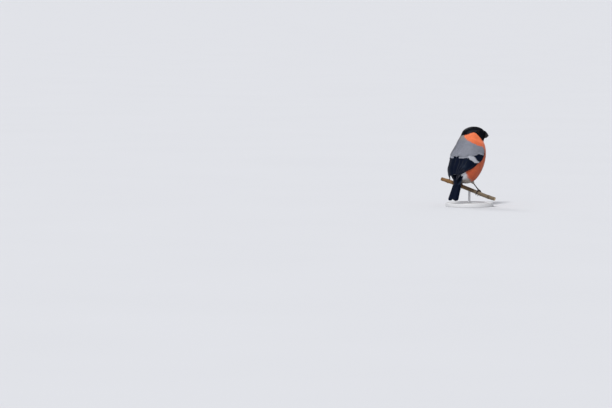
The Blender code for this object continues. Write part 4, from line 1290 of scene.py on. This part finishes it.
def tail_feather(index, side, cell, chance):
    """One of the long tail feathers, counted from the middle one outwards."""
    share, spread = VANE_SHARE, (index + 0.45) / 5.5
    start = 2.5 + 0.4 * index
    end = TAIL_LONG - 2.4 * (1 - spread) ** 2 - 0.8 * spread ** 4 + chance.uniform(-0.3, 0.3)
    across = side * (1.2 + 4.2 * spread + (1.5 + 1.0 * spread) * share ** 1.5)
    lift = 1.3 - 0.42 * index + (0.10 if side == LEFT else 0)
    height = lift * (1 - 0.35 * share) - 0.0105 * across ** 2
    centres = tail_spot(start + (end - start) * share, across, height)
    tint = np.broadcast_to(BLUE_BLACK, (VANE_ROWS, len(VANE_COLUMNS), 3))
    normals = np.broadcast_to(tail_axes()[1], centres.shape)
    return vane_group(centres, normals, 8.0, tint, chance, vane_profile(share, 0.10, 0.5, 2.6), cell,
                      camber=0.05, roll=-side * math.radians(3), nicks=2)


def over_tail_covert(part, place, reach, rise, cell, chance):
    """A black covert from the rump over the tail; part runs from -1 to 1 across the row."""
    s, over = VANE_SHARE[:, None], tail_axes()[1]
    root = body_points(np.array(place - 0.2 * part ** 2), np.array(math.radians(48) * part), 0.3)
    over_rump = tail_spot(2.6, 7.2 * part, rise + 3.0 - 2.4 * part ** 2)
    down = reach - 3.5 * abs(part) + chance.uniform(-0.6, 0.6)
    end = tail_spot(down, 6.0 * part, rise - 0.9 * part ** 2)
    centres = root * (1 - s) ** 2 + over_rump * 2 * s * (1 - s) + end * s ** 2
    tilted = np.broadcast_to(unit(over + np.array([0, 0.45 * part, 0])), centres.shape)
    rim = eased(np.abs(VANE_COLUMNS), 0.75, 1.0)[None, :, None]
    tint = np.broadcast_to(BLUE_BLACK, (VANE_ROWS, 1, 3)) * (1 + 1.5 * rim)
    return vane_group(centres, tilted, 5.8, tint, chance, vane_profile(VANE_SHARE, 0.5, 0.6), cell,
                      camber=0.14, nicks=1)


def under_tail_covert(part, lift, reach, cell, chance):
    """A white covert under the tail; part runs from -1 to 1 across the row."""
    share = VANE_SHARE
    along = 0.6 + (reach - 3.5 * abs(part) + chance.uniform(-0.5, 0.5)) * share
    height = lift * (1 - 0.5 * share) + 0.8 * part * part
    centres = tail_spot(along, part * (5.4 + 0.3 * share), height)
    # The vent's white, with its painted shade.
    tint = np.broadcast_to(SHADED_VENT_WHITE, (VANE_ROWS, len(VANE_COLUMNS), 3))
    normals = np.broadcast_to(-tail_axes()[1], centres.shape)
    return vane_group(centres, normals, 5.4, tint, chance, vane_profile(share, 0.5, 0.5), cell,
                      camber=0.14, nicks=1)


def make_tail(chance):
    """Twelve tail feathers, black coverts over them and white coverts under them."""
    dark, pale = [], []
    for index in range(TAIL_PAIRS):
        for side in (LEFT, RIGHT):
            dark.append(tail_feather(index, side, bake_cell(len(dark)), chance))
    for place, reach, rise, count in OVER_TAIL:
        for part in (index / (count - 1) * 2 - 1 for index in range(count)):
            dark.append(over_tail_covert(part, place, reach, rise, bake_cell(len(dark)), chance))
    for lift, count, reach in UNDER_TAIL:
        for part in (index / (count - 1) * 2 - 1 for index in range(count)):
            pale.append(under_tail_covert(part, lift, reach, bake_cell(len(dark) + len(pale)), chance))
    coat_pieces("tail_feathers", dark, FLIGHT, "flight_feathers", "tail")
    coat_pieces("undertail_coverts", pale, PLUMES["white"], "white_plumage")


# Modelling by operators

def deselect():
    bpy.ops.object.select_all(action="DESELECT")


def apply_place():
    bpy.ops.object.transform_apply(location=True, rotation=True, scale=True)


def spread_over(thing, name, values):
    """One number for each point."""
    made = thing.data.attributes.new(name, "FLOAT", "POINT")
    made.data.foreach_set("value", np.asarray(values, np.float32))


def spread_vane(thing, values):
    """What the finishes of feathers, horn and bark read, for each point."""
    made = thing.data.attributes.new("Vane", "FLOAT_COLOR", "POINT")
    made.data.foreach_set("color", np.asarray(values, np.float32).ravel())


def shape(thing, points):
    """Moves a mesh's points to these places."""
    thing.data.vertices.foreach_set("co", (points * MM).astype(np.float32).ravel())
    thing.data.update()


def coordinates(thing):
    """Places of a mesh's points, in metres."""
    points = np.zeros(len(thing.data.vertices) * 3, np.float32)
    thing.data.vertices.foreach_get("co", points)
    return points.reshape(-1, 3).astype(float)


def aim(axis):
    return Vector(axis).to_track_quat("Z", "Y").to_euler()


def draw_out(centres, radii, sides, fill="TRIFAN"):
    """Models a rod: a disc drawn out along a line of centres, each step swelled or narrowed to its radius."""
    deselect()
    lean = aim(centres[-1] - centres[0])
    bpy.ops.mesh.primitive_circle_add(vertices=sides, radius=radii[0] * MM, fill_type=fill,
                                      location=Vector(centres[0]) * MM, rotation=lean)
    rod = bpy.context.object
    apply_place()
    bpy.ops.object.mode_set(mode="EDIT")
    for step in range(1, len(centres)):
        move, grow = Vector(centres[step] - centres[step - 1]) * MM, radii[step] / radii[step - 1]
        bpy.ops.mesh.extrude_region_move(TRANSFORM_OT_translate={"value": move})
        bpy.ops.transform.resize(value=[grow] * 3, center_override=Vector(centres[step]) * MM)
    return rod


def draw_in(steps):
    """Draws the selected faces in, and out of the surface, by each of these steps."""
    for inward, outward in steps:
        bpy.ops.mesh.inset(thickness=inward * MM, depth=outward * MM)


def face_outwards():
    """Turns all faces of the mesh in edit mode outwards, and leaves that mode."""
    bpy.ops.mesh.select_all(action="SELECT")
    bpy.ops.mesh.normals_make_consistent(inside=False)
    bpy.ops.object.mode_set(mode="OBJECT")


def apply_modifier(modifier):
    bpy.ops.object.modifier_apply(modifier=modifier.name)


def round_edges(thing, width, segments, sharper_than):
    """Rounds the edges that bend by more degrees than this."""
    soft = thing.modifiers.new("soft", "BEVEL")
    soft.width, soft.segments, soft.limit_method = width * MM, segments, "ANGLE"
    soft.angle_limit = math.radians(sharper_than)
    apply_modifier(soft)


def cylinder(radius, bottom, top, sides, fill="NGON"):
    """An upright cylinder over the floor's middle."""
    deselect()
    bpy.ops.mesh.primitive_cylinder_add(vertices=sides, radius=radius * MM, depth=(top - bottom) * MM,
                                        location=(0, 0, (top + bottom) / 2 * MM), end_fill_type=fill)
    return bpy.context.object


def join_up(things, name):
    deselect()
    for thing in things:
        thing.select_set(True)
    bpy.context.view_layer.objects.active = things[0]
    bpy.ops.object.join()
    things[0].name = name
    return things[0]


# Bill, eyes

BILL_ROWS, BILL_COLUMNS, BILL_FLOOR_COLUMNS = 40, 48, 12
NOSTRIL_AHEAD, NOSTRIL_APART, NOSTRIL_HEIGHT = 1.3, 3.1, 122.0
BILL_LEVEL = 118


def bill_half(name, upper):
    """Half of the bill with a rounded ridge, a rolled cutting edge and fine growth rings."""
    share = np.linspace(0, 1.0 if upper else LOWER_SHARE, BILL_ROWS)
    place = share * (len(BILL_TOP) - 1)
    edge = BILL_GAPE[0] + (BILL_GAPE[1] - BILL_GAPE[0]) * share + (-0.10 if upper else 0.06)
    crown = rows_at(BILL_TOP if upper else BILL_FOOT, place)[:, 0]
    wide = rows_at(BILL_WIDE, place)[:, 0] * (1.0 if upper else 0.93)
    if upper:
        edge = edge - BILL_HOOK * np.maximum(share - 0.88, 0) / 0.12
    else:
        crown = np.minimum(crown, edge - 0.25)
    share, edge, crown, wide = share[:, None], edge[:, None], crown[:, None], wide[:, None]
    angle = np.linspace(0, math.pi, BILL_COLUMNS)
    rise = np.abs(np.sin(angle)) ** 0.85
    ridge = 0.10 * np.exp(-((angle - math.pi / 2) / 0.16) ** 2) if upper else 0 * angle
    ring = 0.006 * np.sin(share * 70)
    across = np.cos(angle) * (wide + ring)
    tall = edge + (crown - edge) * (rise + ridge * (1 - share)) * (1 + ring * 0.3)
    ahead = BILL_BASE_X - 0.9 * (1 - np.minimum(share * 6, 1)) + BILL_LONG * share
    floor = np.linspace(1, -1, BILL_FLOOR_COLUMNS)[1:-1]
    hollow = 0.35 * (1 - floor ** 2) * (1 if upper else -1)
    across = np.concatenate([across, floor * -wide], 1)
    tall = np.concatenate([tall, edge + hollow * np.minimum(wide / 3, 1)], 1)
    rings = np.stack([np.broadcast_to(ahead, tall.shape), across, tall], -1)
    if upper:
        for side in SIDES.values():
            hole = np.array([BILL_BASE_X + NOSTRIL_AHEAD, side * NOSTRIL_APART, NOSTRIL_HEIGHT])
            near = 1 - eased(np.linalg.norm(rings - hole, axis=-1), 0.35, 0.95)
            rings = rings - np.array([0.1, side * 0.8, 0.3]) * near[..., None] * 0.8
    points, faces = capped_grid(turned(rings))
    # Share near the cutting edge, which the horn paints paler, partly as a highlight.
    edge_pale_highlit = 1 - np.clip(np.abs(rings[..., 2] - edge) / 2.2, 0, 1)
    along = np.broadcast_to(share * BILL_LONG, tall.shape)
    vane = np.stack([rings[..., 2] - BILL_LEVEL, along, np.zeros(tall.shape), edge_pale_highlit], -1).reshape(-1, 4)
    vane = np.concatenate([vane, vane[:1], vane[-1:]])
    bill = array_piece(name, points, faces, HORN, vane=vane)
    put_on(bill, "horn", "bill_upper" if upper else "bill_lower")


CORNEA_RISE = 0.22


def make_eye(name, side):
    """Eyeball with a raised cornea, looking along the eye's axis."""
    deselect()
    bpy.ops.mesh.primitive_uv_sphere_add(segments=64, ring_count=40, radius=EYE_RADIUS * MM)
    eye = bpy.context.object
    eye.name = "eyeball_" + name
    points = coordinates(eye) / MM
    away = np.linalg.norm(points[:, :2], axis=1)
    front = points[:, 2] > 0
    points[:, 2] += np.where(front, CORNEA_RISE * (1 - eased(away, 0.6, 2.1)), 0)
    spread_over(eye, "Away", np.where(front, away / EYE_RADIUS, 1.0))
    shape(eye, points)
    eye.rotation_euler = aim(eye_axis(side))
    eye.location = Vector(eye_middle(side)) * MM
    apply_place()
    bpy.ops.object.shade_smooth()
    eye.data.materials.append(EYE)
    put_on(eye, "eye", "eye_" + name)


# Section of a lid, from its rim on the eyeball over its crest and under the feathers: how far from the
# eye's axis, and how high over the eye's middle.
LID_SECTION = np.array([
    (2.02, 2.05), (2.03, 2.26), (2.07, 2.36), (2.14, 2.42), (2.24, 2.41), (2.36, 2.32), (2.50, 2.16),
    (2.72, 1.9), (3.0, 1.4), (2.9, 1.0), (2.4, 1.2), (2.12, 1.6),
])
# First and last point of the section's wrinkled crest, and of the part that keeps its round shape.
LID_CREST = (2, 6)
LID_OPENING = (4, 9)


def make_lid(side):
    """One wrinkled lid: its rim closes on the eyeball, has corners, and runs out under the feathers."""
    middle, axis = eye_middle(side), eye_axis(side)
    lid = draw_out(middle + axis * LID_SECTION[:, 1:], LID_SECTION[:, 0], 72, "NOTHING")
    bpy.ops.mesh.select_all(action="DESELECT")
    bpy.ops.mesh.select_mode(type="VERT")
    bpy.ops.mesh.select_non_manifold()
    bpy.ops.mesh.bridge_edge_loops()
    face_outwards()
    away = coordinates(lid) / MM - middle
    high = away @ axis
    flat = away - high[:, None] * axis
    far, outward = np.linalg.norm(flat, axis=1), unit(flat)
    ring = np.argmin(np.hypot(far[:, None] - LID_SECTION[:, 0], high[:, None] - LID_SECTION[:, 1]), 1)
    corners, height = outward @ unit(turned_way((1, 0, -0.25))), outward @ UP
    open_by = 1 + 0.06 * corners ** 2 - 0.10 * np.abs(height) ** 3
    far = far * np.where((ring < LID_OPENING[0]) | (ring > LID_OPENING[1]), open_by, 1)
    angle = np.arctan2(outward @ unit(np.cross(axis, UP)), height)
    crest = (ring >= LID_CREST[0]) & (ring <= LID_CREST[1])
    folds = (0.02 * np.sin(angle * 25) + 0.012 * np.sin(angle * 41 + 1)) * crest
    shape(lid, middle + outward * (far + folds)[:, None] + axis * (high + folds)[:, None])
    return lid


def make_lids():
    lids = join_up([make_lid(side) for side in SIDES.values()], "eyelids")
    bpy.ops.object.shade_smooth()
    lids.data.materials.append(LIDS)
    put_on(lids, "black_plumage")


BRISTLES = 1100
BRISTLE_WIDE, BRISTLE_LIFT = 0.22, 0.28


def bill_bristles(chance):
    """Short black bristles that run forward from the face over the base of the bill."""
    angle = np.linspace(0, 2 * math.pi, 73)[:-1]
    rings = []
    for share in np.linspace(0.5, 0.0, 16):
        place = share * (len(BILL_TOP) - 1)
        top, foot, wide = (rows_at(table, place)[0] for table in (BILL_TOP, BILL_FOOT, BILL_WIDE))
        ahead = np.full_like(angle, BILL_BASE_X + BILL_LONG * share)
        across, tall = wide * np.sin(angle), (top + foot) / 2 + (top - foot) / 2 * np.cos(angle)
        rings.append(turned(np.stack([ahead, across, tall], -1)))
    rings += list(body_points(*np.meshgrid((15.9, 15.75, 15.6, 15.4), angle, indexing="ij"), 0.25))
    grid = np.array(rings)
    surface = Surface(grid, grid.mean(1), wrap=True)
    turn = np.clip(chance.normal(0, 78, BRISTLES), -178, 178) % 360
    row = chance.uniform(14.6, 18.6, BRISTLES)
    from_top = np.abs((turn + 180) % 360 - 180)
    long = chance.uniform(1.1, 2.1, BRISTLES) * (1 - 0.45 * eased(from_top, 60, 130))
    wide, lift = np.full(BRISTLES, BRISTLE_WIDE), np.full(BRISTLES, BRISTLE_LIFT)
    return tufts(surface, row, turn / 5, long, wide, lift, np.tile(BLACK, (BRISTLES, 1)), BLACK, tuft_form(3),
                 chance, (0.02, 0.2, 0.96, 0.2))


# Legs

def twig_axes():
    up = unit(UP - TWIG_ALONG * TWIG_ALONG[2])
    return up, np.cross(TWIG_ALONG, up)


def round_twig(side, angle, shift, rise):
    """Points beside the twig under one foot: angle 0 is its top, and plus angles go forward."""
    up, forward = twig_axes()
    centre = TWIG_MIDDLE + TWIG_ALONG * (FOOT_PLACE[side] + np.asarray(shift, float)[..., None])
    angle, rise = np.asarray(angle, float)[..., None], np.asarray(rise, float)[..., None]
    return centre + (up * np.cos(angle) + forward * np.sin(angle)) * (TWIG_RADIUS + rise)


# Each toe: degrees round the twig at which it starts and ends, how far outwards along the twig both lie from
# the foot's middle, degrees that its claw goes on by, and how many pads it has.
TOES = {
    "inner": (-8, 116, -0.8, -3.3, 42, 6),
    "middle": (-8, 150, 0.0, 0.4, 42, 8),
    "outer": (-8, 122, 0.8, 3.6, 42, 7),
    "hind": (10, -98, 0.0, -0.8, 54, 5),
}
SCUTE_LONG = 1.7


def joined_arrays(shapes):
    points, faces, start = [], [], 0
    for shape_points, shape_faces in shapes:
        points.append(shape_points)
        faces.append(shape_faces + start)
        start += len(shape_points)
    return np.concatenate(points), np.concatenate(faces)


def scute_steps(count, strength):
    """Overlapping scutes along a limb, for shares of scutes: each swells and ends in a step."""
    step = count % 1.0
    return strength * step ** 1.5 * (1 - eased(step, 0.86, 1.0))


def shank_shapes(side):
    """Shank with overlapping scutes, and the pad under it."""
    sole, way = leg_line(side)
    foot_top, start = sole - way * 1.6, sole - way * (SLEEVE_END[side] + 1.2)
    long = np.linalg.norm(foot_top - start)
    share = np.linspace(0, 1, max(int(long * 8), 36))
    radius = np.interp(share, (0, 0.12, 0.35, 0.7, 0.9, 1.0), (1.15, 1.05, 0.86, 0.88, 1.08, 1.15))
    radius = radius * (0.96 + scute_steps(share * max(int(long / SCUTE_LONG), 3), 0.14))
    centres = start + (foot_top + way * 0.8 - start) * share[:, None]
    pad = np.array([foot_top - way * 0.3, sole - way * 0.9, sole - way * 0.1, sole + way * 0.45])
    return [capped_grid(tube_rings(centres, radius, 28, TWIG_ALONG)),
            capped_grid(tube_rings(pad, (1.1, 1.4, 1.45, 1.0), 24, TWIG_ALONG))]


def toe_shape(side, begin, end, near, far, joints):
    """Toe round the twig, with pads below and scutes above."""
    share = np.linspace(0, 1, 90)
    thick = TOE_RADIUS * (1.02 - 0.28 * share)
    shift = side * (near + (far - near) * share)
    angle = np.radians(begin + (end - begin) * share)
    centres = round_twig(side, angle, shift, np.full_like(share, TOE_RISE))
    over = 0.03 + scute_steps(share * joints * 1.6, 0.16)
    lower = 0.10 * np.abs(np.sin(share * joints * math.pi)) - 0.02
    rings = tube_rings(centres, thick, 24, TWIG_ALONG)
    middle = centres[:, None]
    axis_point = TWIG_MIDDLE + TWIG_ALONG * ((centres - TWIG_MIDDLE) @ TWIG_ALONG)[:, None]
    outward = unit(centres - axis_point)[:, None]
    facing = (unit(rings - middle) * outward).sum(-1)
    swell = np.where(facing > 0, over[:, None] * facing, lower[:, None] * np.minimum(-facing, 0.6))
    return capped_grid(middle + (rings - middle) * (1 + swell / thick[:, None] * 0.9)[..., None])


def claw_shape(side, end, far, sweep):
    """Hooked claw, narrower than it is tall, that goes on from the toe's end."""
    share = np.linspace(0, 1, 22)
    angle = np.radians(end + math.copysign(sweep * 1.15, end) * share - math.copysign(8, end))
    rise = TOE_RISE + 0.15 + 1.5 * share - 1.3 * share ** 2
    radius = 0.74 * (1 - share) ** 0.75 + 0.07
    rings = tube_rings(round_twig(side, angle, np.full_like(share, side * far), rise), radius, 20, TWIG_ALONG)
    middle = rings.mean(1, keepdims=True)
    sideways = ((rings - middle) @ TWIG_ALONG)[..., None] * TWIG_ALONG
    return capped_grid(rings - sideways * 0.22)


def make_leg(name, side):
    """Shank, pad and toes as one piece, and the claws as another."""
    shapes, claws = shank_shapes(side), []
    for begin, end, near, far, sweep, joints in TOES.values():
        shapes.append(toe_shape(side, begin, end, near, far, joints))
        claws.append(claw_shape(side, end, far, sweep))
    leg = array_piece("leg_" + name, *joined_arrays(shapes), LEG)
    put_on(leg, "leg_skin", "shank_" + name, "foot_" + name)
    put_on(array_piece("claws_" + name, *joined_arrays(claws), CLAW), "leg_skin")


SLEEVE_ROWS = 40


def thigh_coat(side, chance):
    """Pale small feathers of the sleeve over the thigh."""
    rings = thigh_rings(side, 0.55, 48)
    rings = np.concatenate([rings[:1] * 2 - rings[1:2], rings])
    place = np.linspace(0, len(rings) - 1, SLEEVE_ROWS)
    low = np.minimum(place.astype(int), len(rings) - 2)
    fine = rings[low] + (rings[low + 1] - rings[low]) * (place - low)[:, None, None]
    surface = Surface(fine, fine.mean(1), wrap=True)
    spacing, wanted = (lambda r, c: np.full(len(r), 0.62)), (lambda r, c: (r > 2.0) & (r < 37))
    row, column = surface.spread(chance, spacing, wanted)
    row = np.clip(row, 2.2, 37.0)
    long = np.interp(row, (0, 10, 38), (2.2, 3.4, 4.4))
    # The sleeve takes the vent's white, with its painted shade.
    return tufts(surface, row, column, long, long * 0.5, np.full(len(row), 0.5),
                 mottled(SHADED_VENT_WHITE, len(row), 0.8, 1.05, chance), DOWN_GREY, tuft_form(6, 0.37), chance,
                 (0.3 + 0.25 * side, 0.5, 0.4, 0.2))


# Perch and stand

TWIG_STEPS, TWIG_SIDES = 76, 24
TWIG_ENDS = (-TWIG_REACH[RIGHT], TWIG_REACH[LEFT])
TWIG_TRIM = 0.5
BARK_THICK, BARK_RIM = 0.3, 0.12
BARK_CELLS = (300, 96)
# Outline of a bud with its overlapping scales: share along it, and radius.
BUD_SECTION = np.array([
    (0, 1.5), (0.12, 1.15), (0.24, 1.2), (0.27, 1.08), (0.46, 1.05), (0.49, 0.92), (0.68, 0.78), (0.71, 0.68),
    (0.88, 0.36), (1.0, 0.06),
])
BUD_LONG = 3.4


def cloud(chance, shape, along, across):
    """Smooth random heights over a grid, with bumps about so many cells long and wide."""
    rows, columns = (np.fft.fftfreq(count) for count in shape)
    blur = np.exp(-2 * math.pi ** 2 * ((rows[:, None] * along) ** 2 + (columns[None] * across) ** 2))
    heights = np.fft.ifft2(np.fft.fft2(chance.normal(size=shape)) * blur).real
    return heights / heights.std()


def bark_heights(along, turn):
    """Ridges and hollows of the bark, at shares along the twig and round it."""
    chance = np.random.default_rng(BARK_SEED)
    heights = 0.030 * cloud(chance, BARK_CELLS, 9.0, 0.9) + 0.045 * cloud(chance, BARK_CELLS, 12.0, 8.0)
    heights = heights + 0.015 * cloud(chance, BARK_CELLS, 1.2, 1.6)
    closed = np.concatenate([heights, heights[:, :1]], 1)
    return grid_at(closed, along * (BARK_CELLS[0] - 1), turn * BARK_CELLS[1])


def twig_bend(place):
    """Middle of the twig, at distances from the stand towards the bird's left."""
    rise = np.maximum(np.abs(place) - 26, 0) ** 2 * 0.003 * np.where(place < 0, 0.6, -0.5)
    return TWIG_MIDDLE + TWIG_ALONG * place[:, None] + twig_axes()[0] * rise[:, None]


def twig_girth(place):
    """Radius of the twig: it thins towards its ends, and swells at two knots."""
    knots = 0.55 * np.exp(-((place - 42) / 3.5) ** 2) + 0.35 * np.exp(-((place + 38) / 2.6) ** 2)
    return TWIG_RADIUS + knots - 0.004 * np.abs(place) - 0.11


def model_end(twig, end):
    """A rim of bark round one cut end, and the wood a little proud of it."""
    bpy.ops.mesh.select_all(action="DESELECT")
    bpy.ops.object.mode_set(mode="OBJECT")
    for face in twig.data.polygons:
        face.select = bool(abs((np.array(face.center) / MM - TWIG_MIDDLE) @ TWIG_ALONG - end) < TWIG_TRIM / 4)
    bpy.ops.object.mode_set(mode="EDIT")
    bpy.ops.mesh.select_mode(type="FACE")
    draw_in(((BARK_RIM, 0), (BARK_THICK - BARK_RIM, 0.05), (0.8, 0)))


def dress_twig(twig):
    """Roughens the twig as bark, and gives it its two finishes."""
    up, forward = twig_axes()
    first, last = TWIG_ENDS
    points = coordinates(twig) / MM
    place = (points - TWIG_MIDDLE) @ TWIG_ALONG
    share = np.clip((place - first) / (last - first), 0, 1)
    flat = points - twig_bend(place)
    far, girth = np.linalg.norm(flat, axis=1), twig_girth(place)
    turn = np.arctan2(flat @ forward, flat @ up) % (2 * math.pi)
    rim = eased(far / girth, 0.8, 0.97)
    shape(twig, points + unit(flat) * (bark_heights(share, turn / (2 * math.pi)) * rim)[:, None])
    on_end = (np.minimum(place - first, last - place) < TWIG_TRIM / 2) & (far < girth - BARK_THICK / 2)
    across = np.where(on_end, far, turn * TWIG_RADIUS)
    spread_vane(twig, np.stack([across, place, np.full_like(place, 0.5), share], 1))
    twig.data.materials.append(bark_finish())
    twig.data.materials.append(wood_finish())
    cut = np.array([on_end[face.vertices].all() for face in twig.data.polygons])
    twig.data.polygons.foreach_set("material_index", cut.astype(np.int32))


def make_bud(place, lean, bark):
    """A pointed bud at a distance along the twig, leaning by so many radians from its top."""
    up, forward = twig_axes()
    spot = np.array([place])
    out = unit(up * math.cos(lean) + forward * math.sin(lean))
    root = twig_bend(spot)[0] + out * (twig_girth(spot)[0] - 0.4)
    way = unit(out * 0.75 + TWIG_ALONG * 0.66)
    bud = draw_out(root + way * BUD_SECTION[:, :1] * BUD_LONG, BUD_SECTION[:, 1], 24)
    face_outwards()
    spread_vane(bud, np.tile((1.0, place, 0.0, 0.25), (len(bud.data.vertices), 1)))
    bud.data.materials.append(bark)
    return bud


def make_perch():
    """Cut twig: a disc drawn out along its bend, roughened as bark, with buds and pale cut ends."""
    first, last = TWIG_ENDS
    inner = np.linspace(first + TWIG_TRIM, last - TWIG_TRIM, TWIG_STEPS)
    place = np.concatenate([[first], inner, [last]])
    twig = draw_out(twig_bend(place), twig_girth(place), TWIG_SIDES)
    for end in TWIG_ENDS:
        model_end(twig, end)
    face_outwards()
    smooth = twig.modifiers.new("round", "SUBSURF")
    smooth.levels = smooth.render_levels = 2
    apply_modifier(smooth)
    dress_twig(twig)
    buds = [make_bud(place, lean, twig.data.materials[0]) for place, lean in BUDS]
    twig = join_up([twig, *buds], "twig")
    bpy.ops.object.shade_smooth_by_angle(angle=math.radians(50))
    put_on(twig, "bark", "perch")


# Shallow step in the top of the base: how far each stage is drawn in, and out of the surface.
BASE_STEP = ((3.2, 0.0), (0.5, -0.5), (0.8, 0.0))
BASE_SIDES, ROD_SIDES = 144, 64
ROD_BOTTOM, ROD_TOP = 5.6, TWIG_MIDDLE[2] - 2.0
COLLAR_RADIUS, COLLAR_BOTTOM, COLLAR_TOP = 3.6, 5.3, 7.9


def make_base():
    """Turned base with a rounded rim and a shallow step."""
    base = cylinder(BASE_RADIUS, 0, BASE_THICK, BASE_SIDES)
    base.name = "display_base"
    bpy.ops.object.mode_set(mode="EDIT")
    bpy.ops.mesh.select_mode(type="FACE")
    bpy.ops.mesh.select_all(action="DESELECT")
    bpy.ops.object.mode_set(mode="OBJECT")
    top = max(base.data.polygons, key=lambda face: (face.normal.z, len(face.vertices)))
    top.select = True
    bpy.ops.object.mode_set(mode="EDIT")
    draw_in(BASE_STEP)
    bpy.ops.object.mode_set(mode="OBJECT")
    apply_place()
    round_edges(base, 1.0, 5, 50)
    bpy.ops.object.shade_smooth_by_angle(angle=math.radians(35))
    base.data.materials.append(lacquer_finish())
    put_on(base, "stand", "stand_base")


def make_rod():
    """Rod in a rounded collar, from the base up to the twig."""
    rod = cylinder(ROD_RADIUS, ROD_BOTTOM, ROD_TOP, ROD_SIDES)
    collar = cylinder(COLLAR_RADIUS, COLLAR_BOTTOM, COLLAR_TOP, ROD_SIDES)
    round_edges(collar, 0.6, 4, 30)
    rod = join_up([rod, collar], "display_rod")
    apply_place()
    bpy.ops.object.shade_smooth_by_angle(angle=math.radians(35))
    rod.data.materials.append(steel_finish())
    put_on(rod, "stand", "stand_rod")


# Camera, floor, light

# The photo's scale and size, and the pixel at which it shows a point this high over the stand's middle.
PIXELS_PER_MM = 0.6
IMAGE_WIDE, IMAGE_HIGH = 612, 408
SEEN_PIXEL, SEEN_HEIGHT = (469.3, 160), 77
CAMERA_AWAY = 6000.0
CAMERA_TURN = math.radians(45)
CAMERA_LIFT = math.radians(3.6)


SKY_COLOUR, SKY_STRENGTH = (0.91, 0.93, 1.0, 1), 0.55
# Each lamp: its direction from the bird, its spread in degrees and its strength.
LAMPS = {"key": ((-1.6, -0.7, 1.9), 11, 2.6), "rim": ((0.5, 1.6, 1.5), 18, 0.6)}
FLOOR_SIZE = 600


def make_camera():
    """Long lens from behind the bird's right side, with the frame's middle to the left of the bird."""
    right = np.array([math.cos(CAMERA_TURN), -math.sin(CAMERA_TURN), 0])
    forward = np.array([math.sin(CAMERA_TURN), math.cos(CAMERA_TURN), 0])
    height = SEEN_HEIGHT + (SEEN_PIXEL[1] - IMAGE_HIGH / 2) / PIXELS_PER_MM
    middle = right * (IMAGE_WIDE / 2 - SEEN_PIXEL[0]) / PIXELS_PER_MM + UP * height
    look = forward * math.cos(CAMERA_LIFT) - UP * math.sin(CAMERA_LIFT)
    data = bpy.data.cameras.new("camera")
    data.sensor_width = 36
    data.lens = data.sensor_width * CAMERA_AWAY / (IMAGE_WIDE / PIXELS_PER_MM)
    data.clip_start, data.clip_end = 0.1, 2000
    camera = bpy.data.objects.new("camera", data)
    camera.location = Vector((middle - look * CAMERA_AWAY) * MM)
    camera.rotation_euler = Vector(look).to_track_quat("-Z", "Y").to_euler()
    bpy.context.scene.collection.objects.link(camera)
    bpy.context.scene.camera = camera


def make_light():
    """Pale even sky, with soft light from behind the camera and a little from beyond the bird."""
    world = bpy.data.worlds.new("sky")
    bpy.context.scene.world = world
    world.use_nodes = True
    sky = world.node_tree.nodes["Background"]
    sky.inputs["Color"].default_value = SKY_COLOUR
    sky.inputs["Strength"].default_value = SKY_STRENGTH
    for name, (place, spread, strength) in LAMPS.items():
        data = bpy.data.lights.new(name, "SUN")
        data.angle, data.energy = math.radians(spread), strength
        lamp = bpy.data.objects.new(name, data)
        lamp.location = place
        lamp.rotation_euler = (-Vector(place)).to_track_quat("-Z", "Y").to_euler()
        bpy.context.scene.collection.objects.link(lamp)
    bpy.context.scene.view_settings.view_transform = "Standard"


def make_floor():
    deselect()
    bpy.ops.mesh.primitive_plane_add(size=FLOOR_SIZE, location=(0, 0, 0))
    floor = bpy.context.object
    floor.name = "floor"
    finish = Finish("pale_floor", {"Roughness": 0.9, "Specular IOR Level": 0.1})
    patches = finish.noise(finish.place(), 3.0, 2.0)
    colour = finish.mix(patches, (0.60, 0.605, 0.62), (0.62, 0.625, 0.64))
    floor.data.materials.append(finish.feed(Base_Color=colour))


# Making

HORN, EYE = horn_finish(), eye_finish()
LIDS = scale_finish("lid_skin", (0.002, 0.002, 0.003), (0.006, 0.0055, 0.007), 0.6)
LEG = scale_finish("leg_scutes", (0.014, 0.010, 0.009), (0.044, 0.030, 0.026), 0.38)
CLAW = scale_finish("claw_horn", (0.012, 0.010, 0.010), (0.035, 0.028, 0.026), 0.28)
PLUMES = {
    "red": plumage("red_plumage", 0.62, 0.25, 0.3, (1.0, 0.9, 0.85)),
    "grey": plumage("grey_plumage", 0.60, 0.20, 0.3, (0.95, 0.97, 1.0)),
    "black": plumage("black_plumage", 0.40, 0.0, 0.08, (0.70, 0.82, 1.0)),
    "white": plumage("white_plumage", 0.65, 0.2, 0.3, (1.0, 1.0, 1.0)),
}
FLIGHT = plumage("flight_feathers", 0.35, 0.0, 0.09, (0.55, 0.72, 1.0), barb=0.22, streak=0.5, depth=0.03)
COATS = {
    "red": "breast_feathers", "grey": "mantle_feathers", "black": "cap_feathers", "white": "vent_feathers",
}

make_camera()
make_light()
make_floor()
make_skin()
coat = body_coat()
for wing_name, wing_side in SIDES.items():
    luck = np.random.default_rng(WING_SEED[wing_side])
    make_wing(wing_name, wing_side, luck)
    coat["white"].append(thigh_coat(wing_side, luck))
    make_leg(wing_name, wing_side)
    make_eye(wing_name, wing_side)
make_tail(np.random.default_rng(TAIL_SEED))
coat["black"].append(bill_bristles(np.random.default_rng(BRISTLE_SEED)))
for zone, title in COATS.items():
    coat_pieces(title, coat[zone], PLUMES[zone], zone + "_plumage")
make_lids()
bill_half("upper_bill", True)
bill_half("lower_bill", False)
make_perch()
make_base()
make_rod()
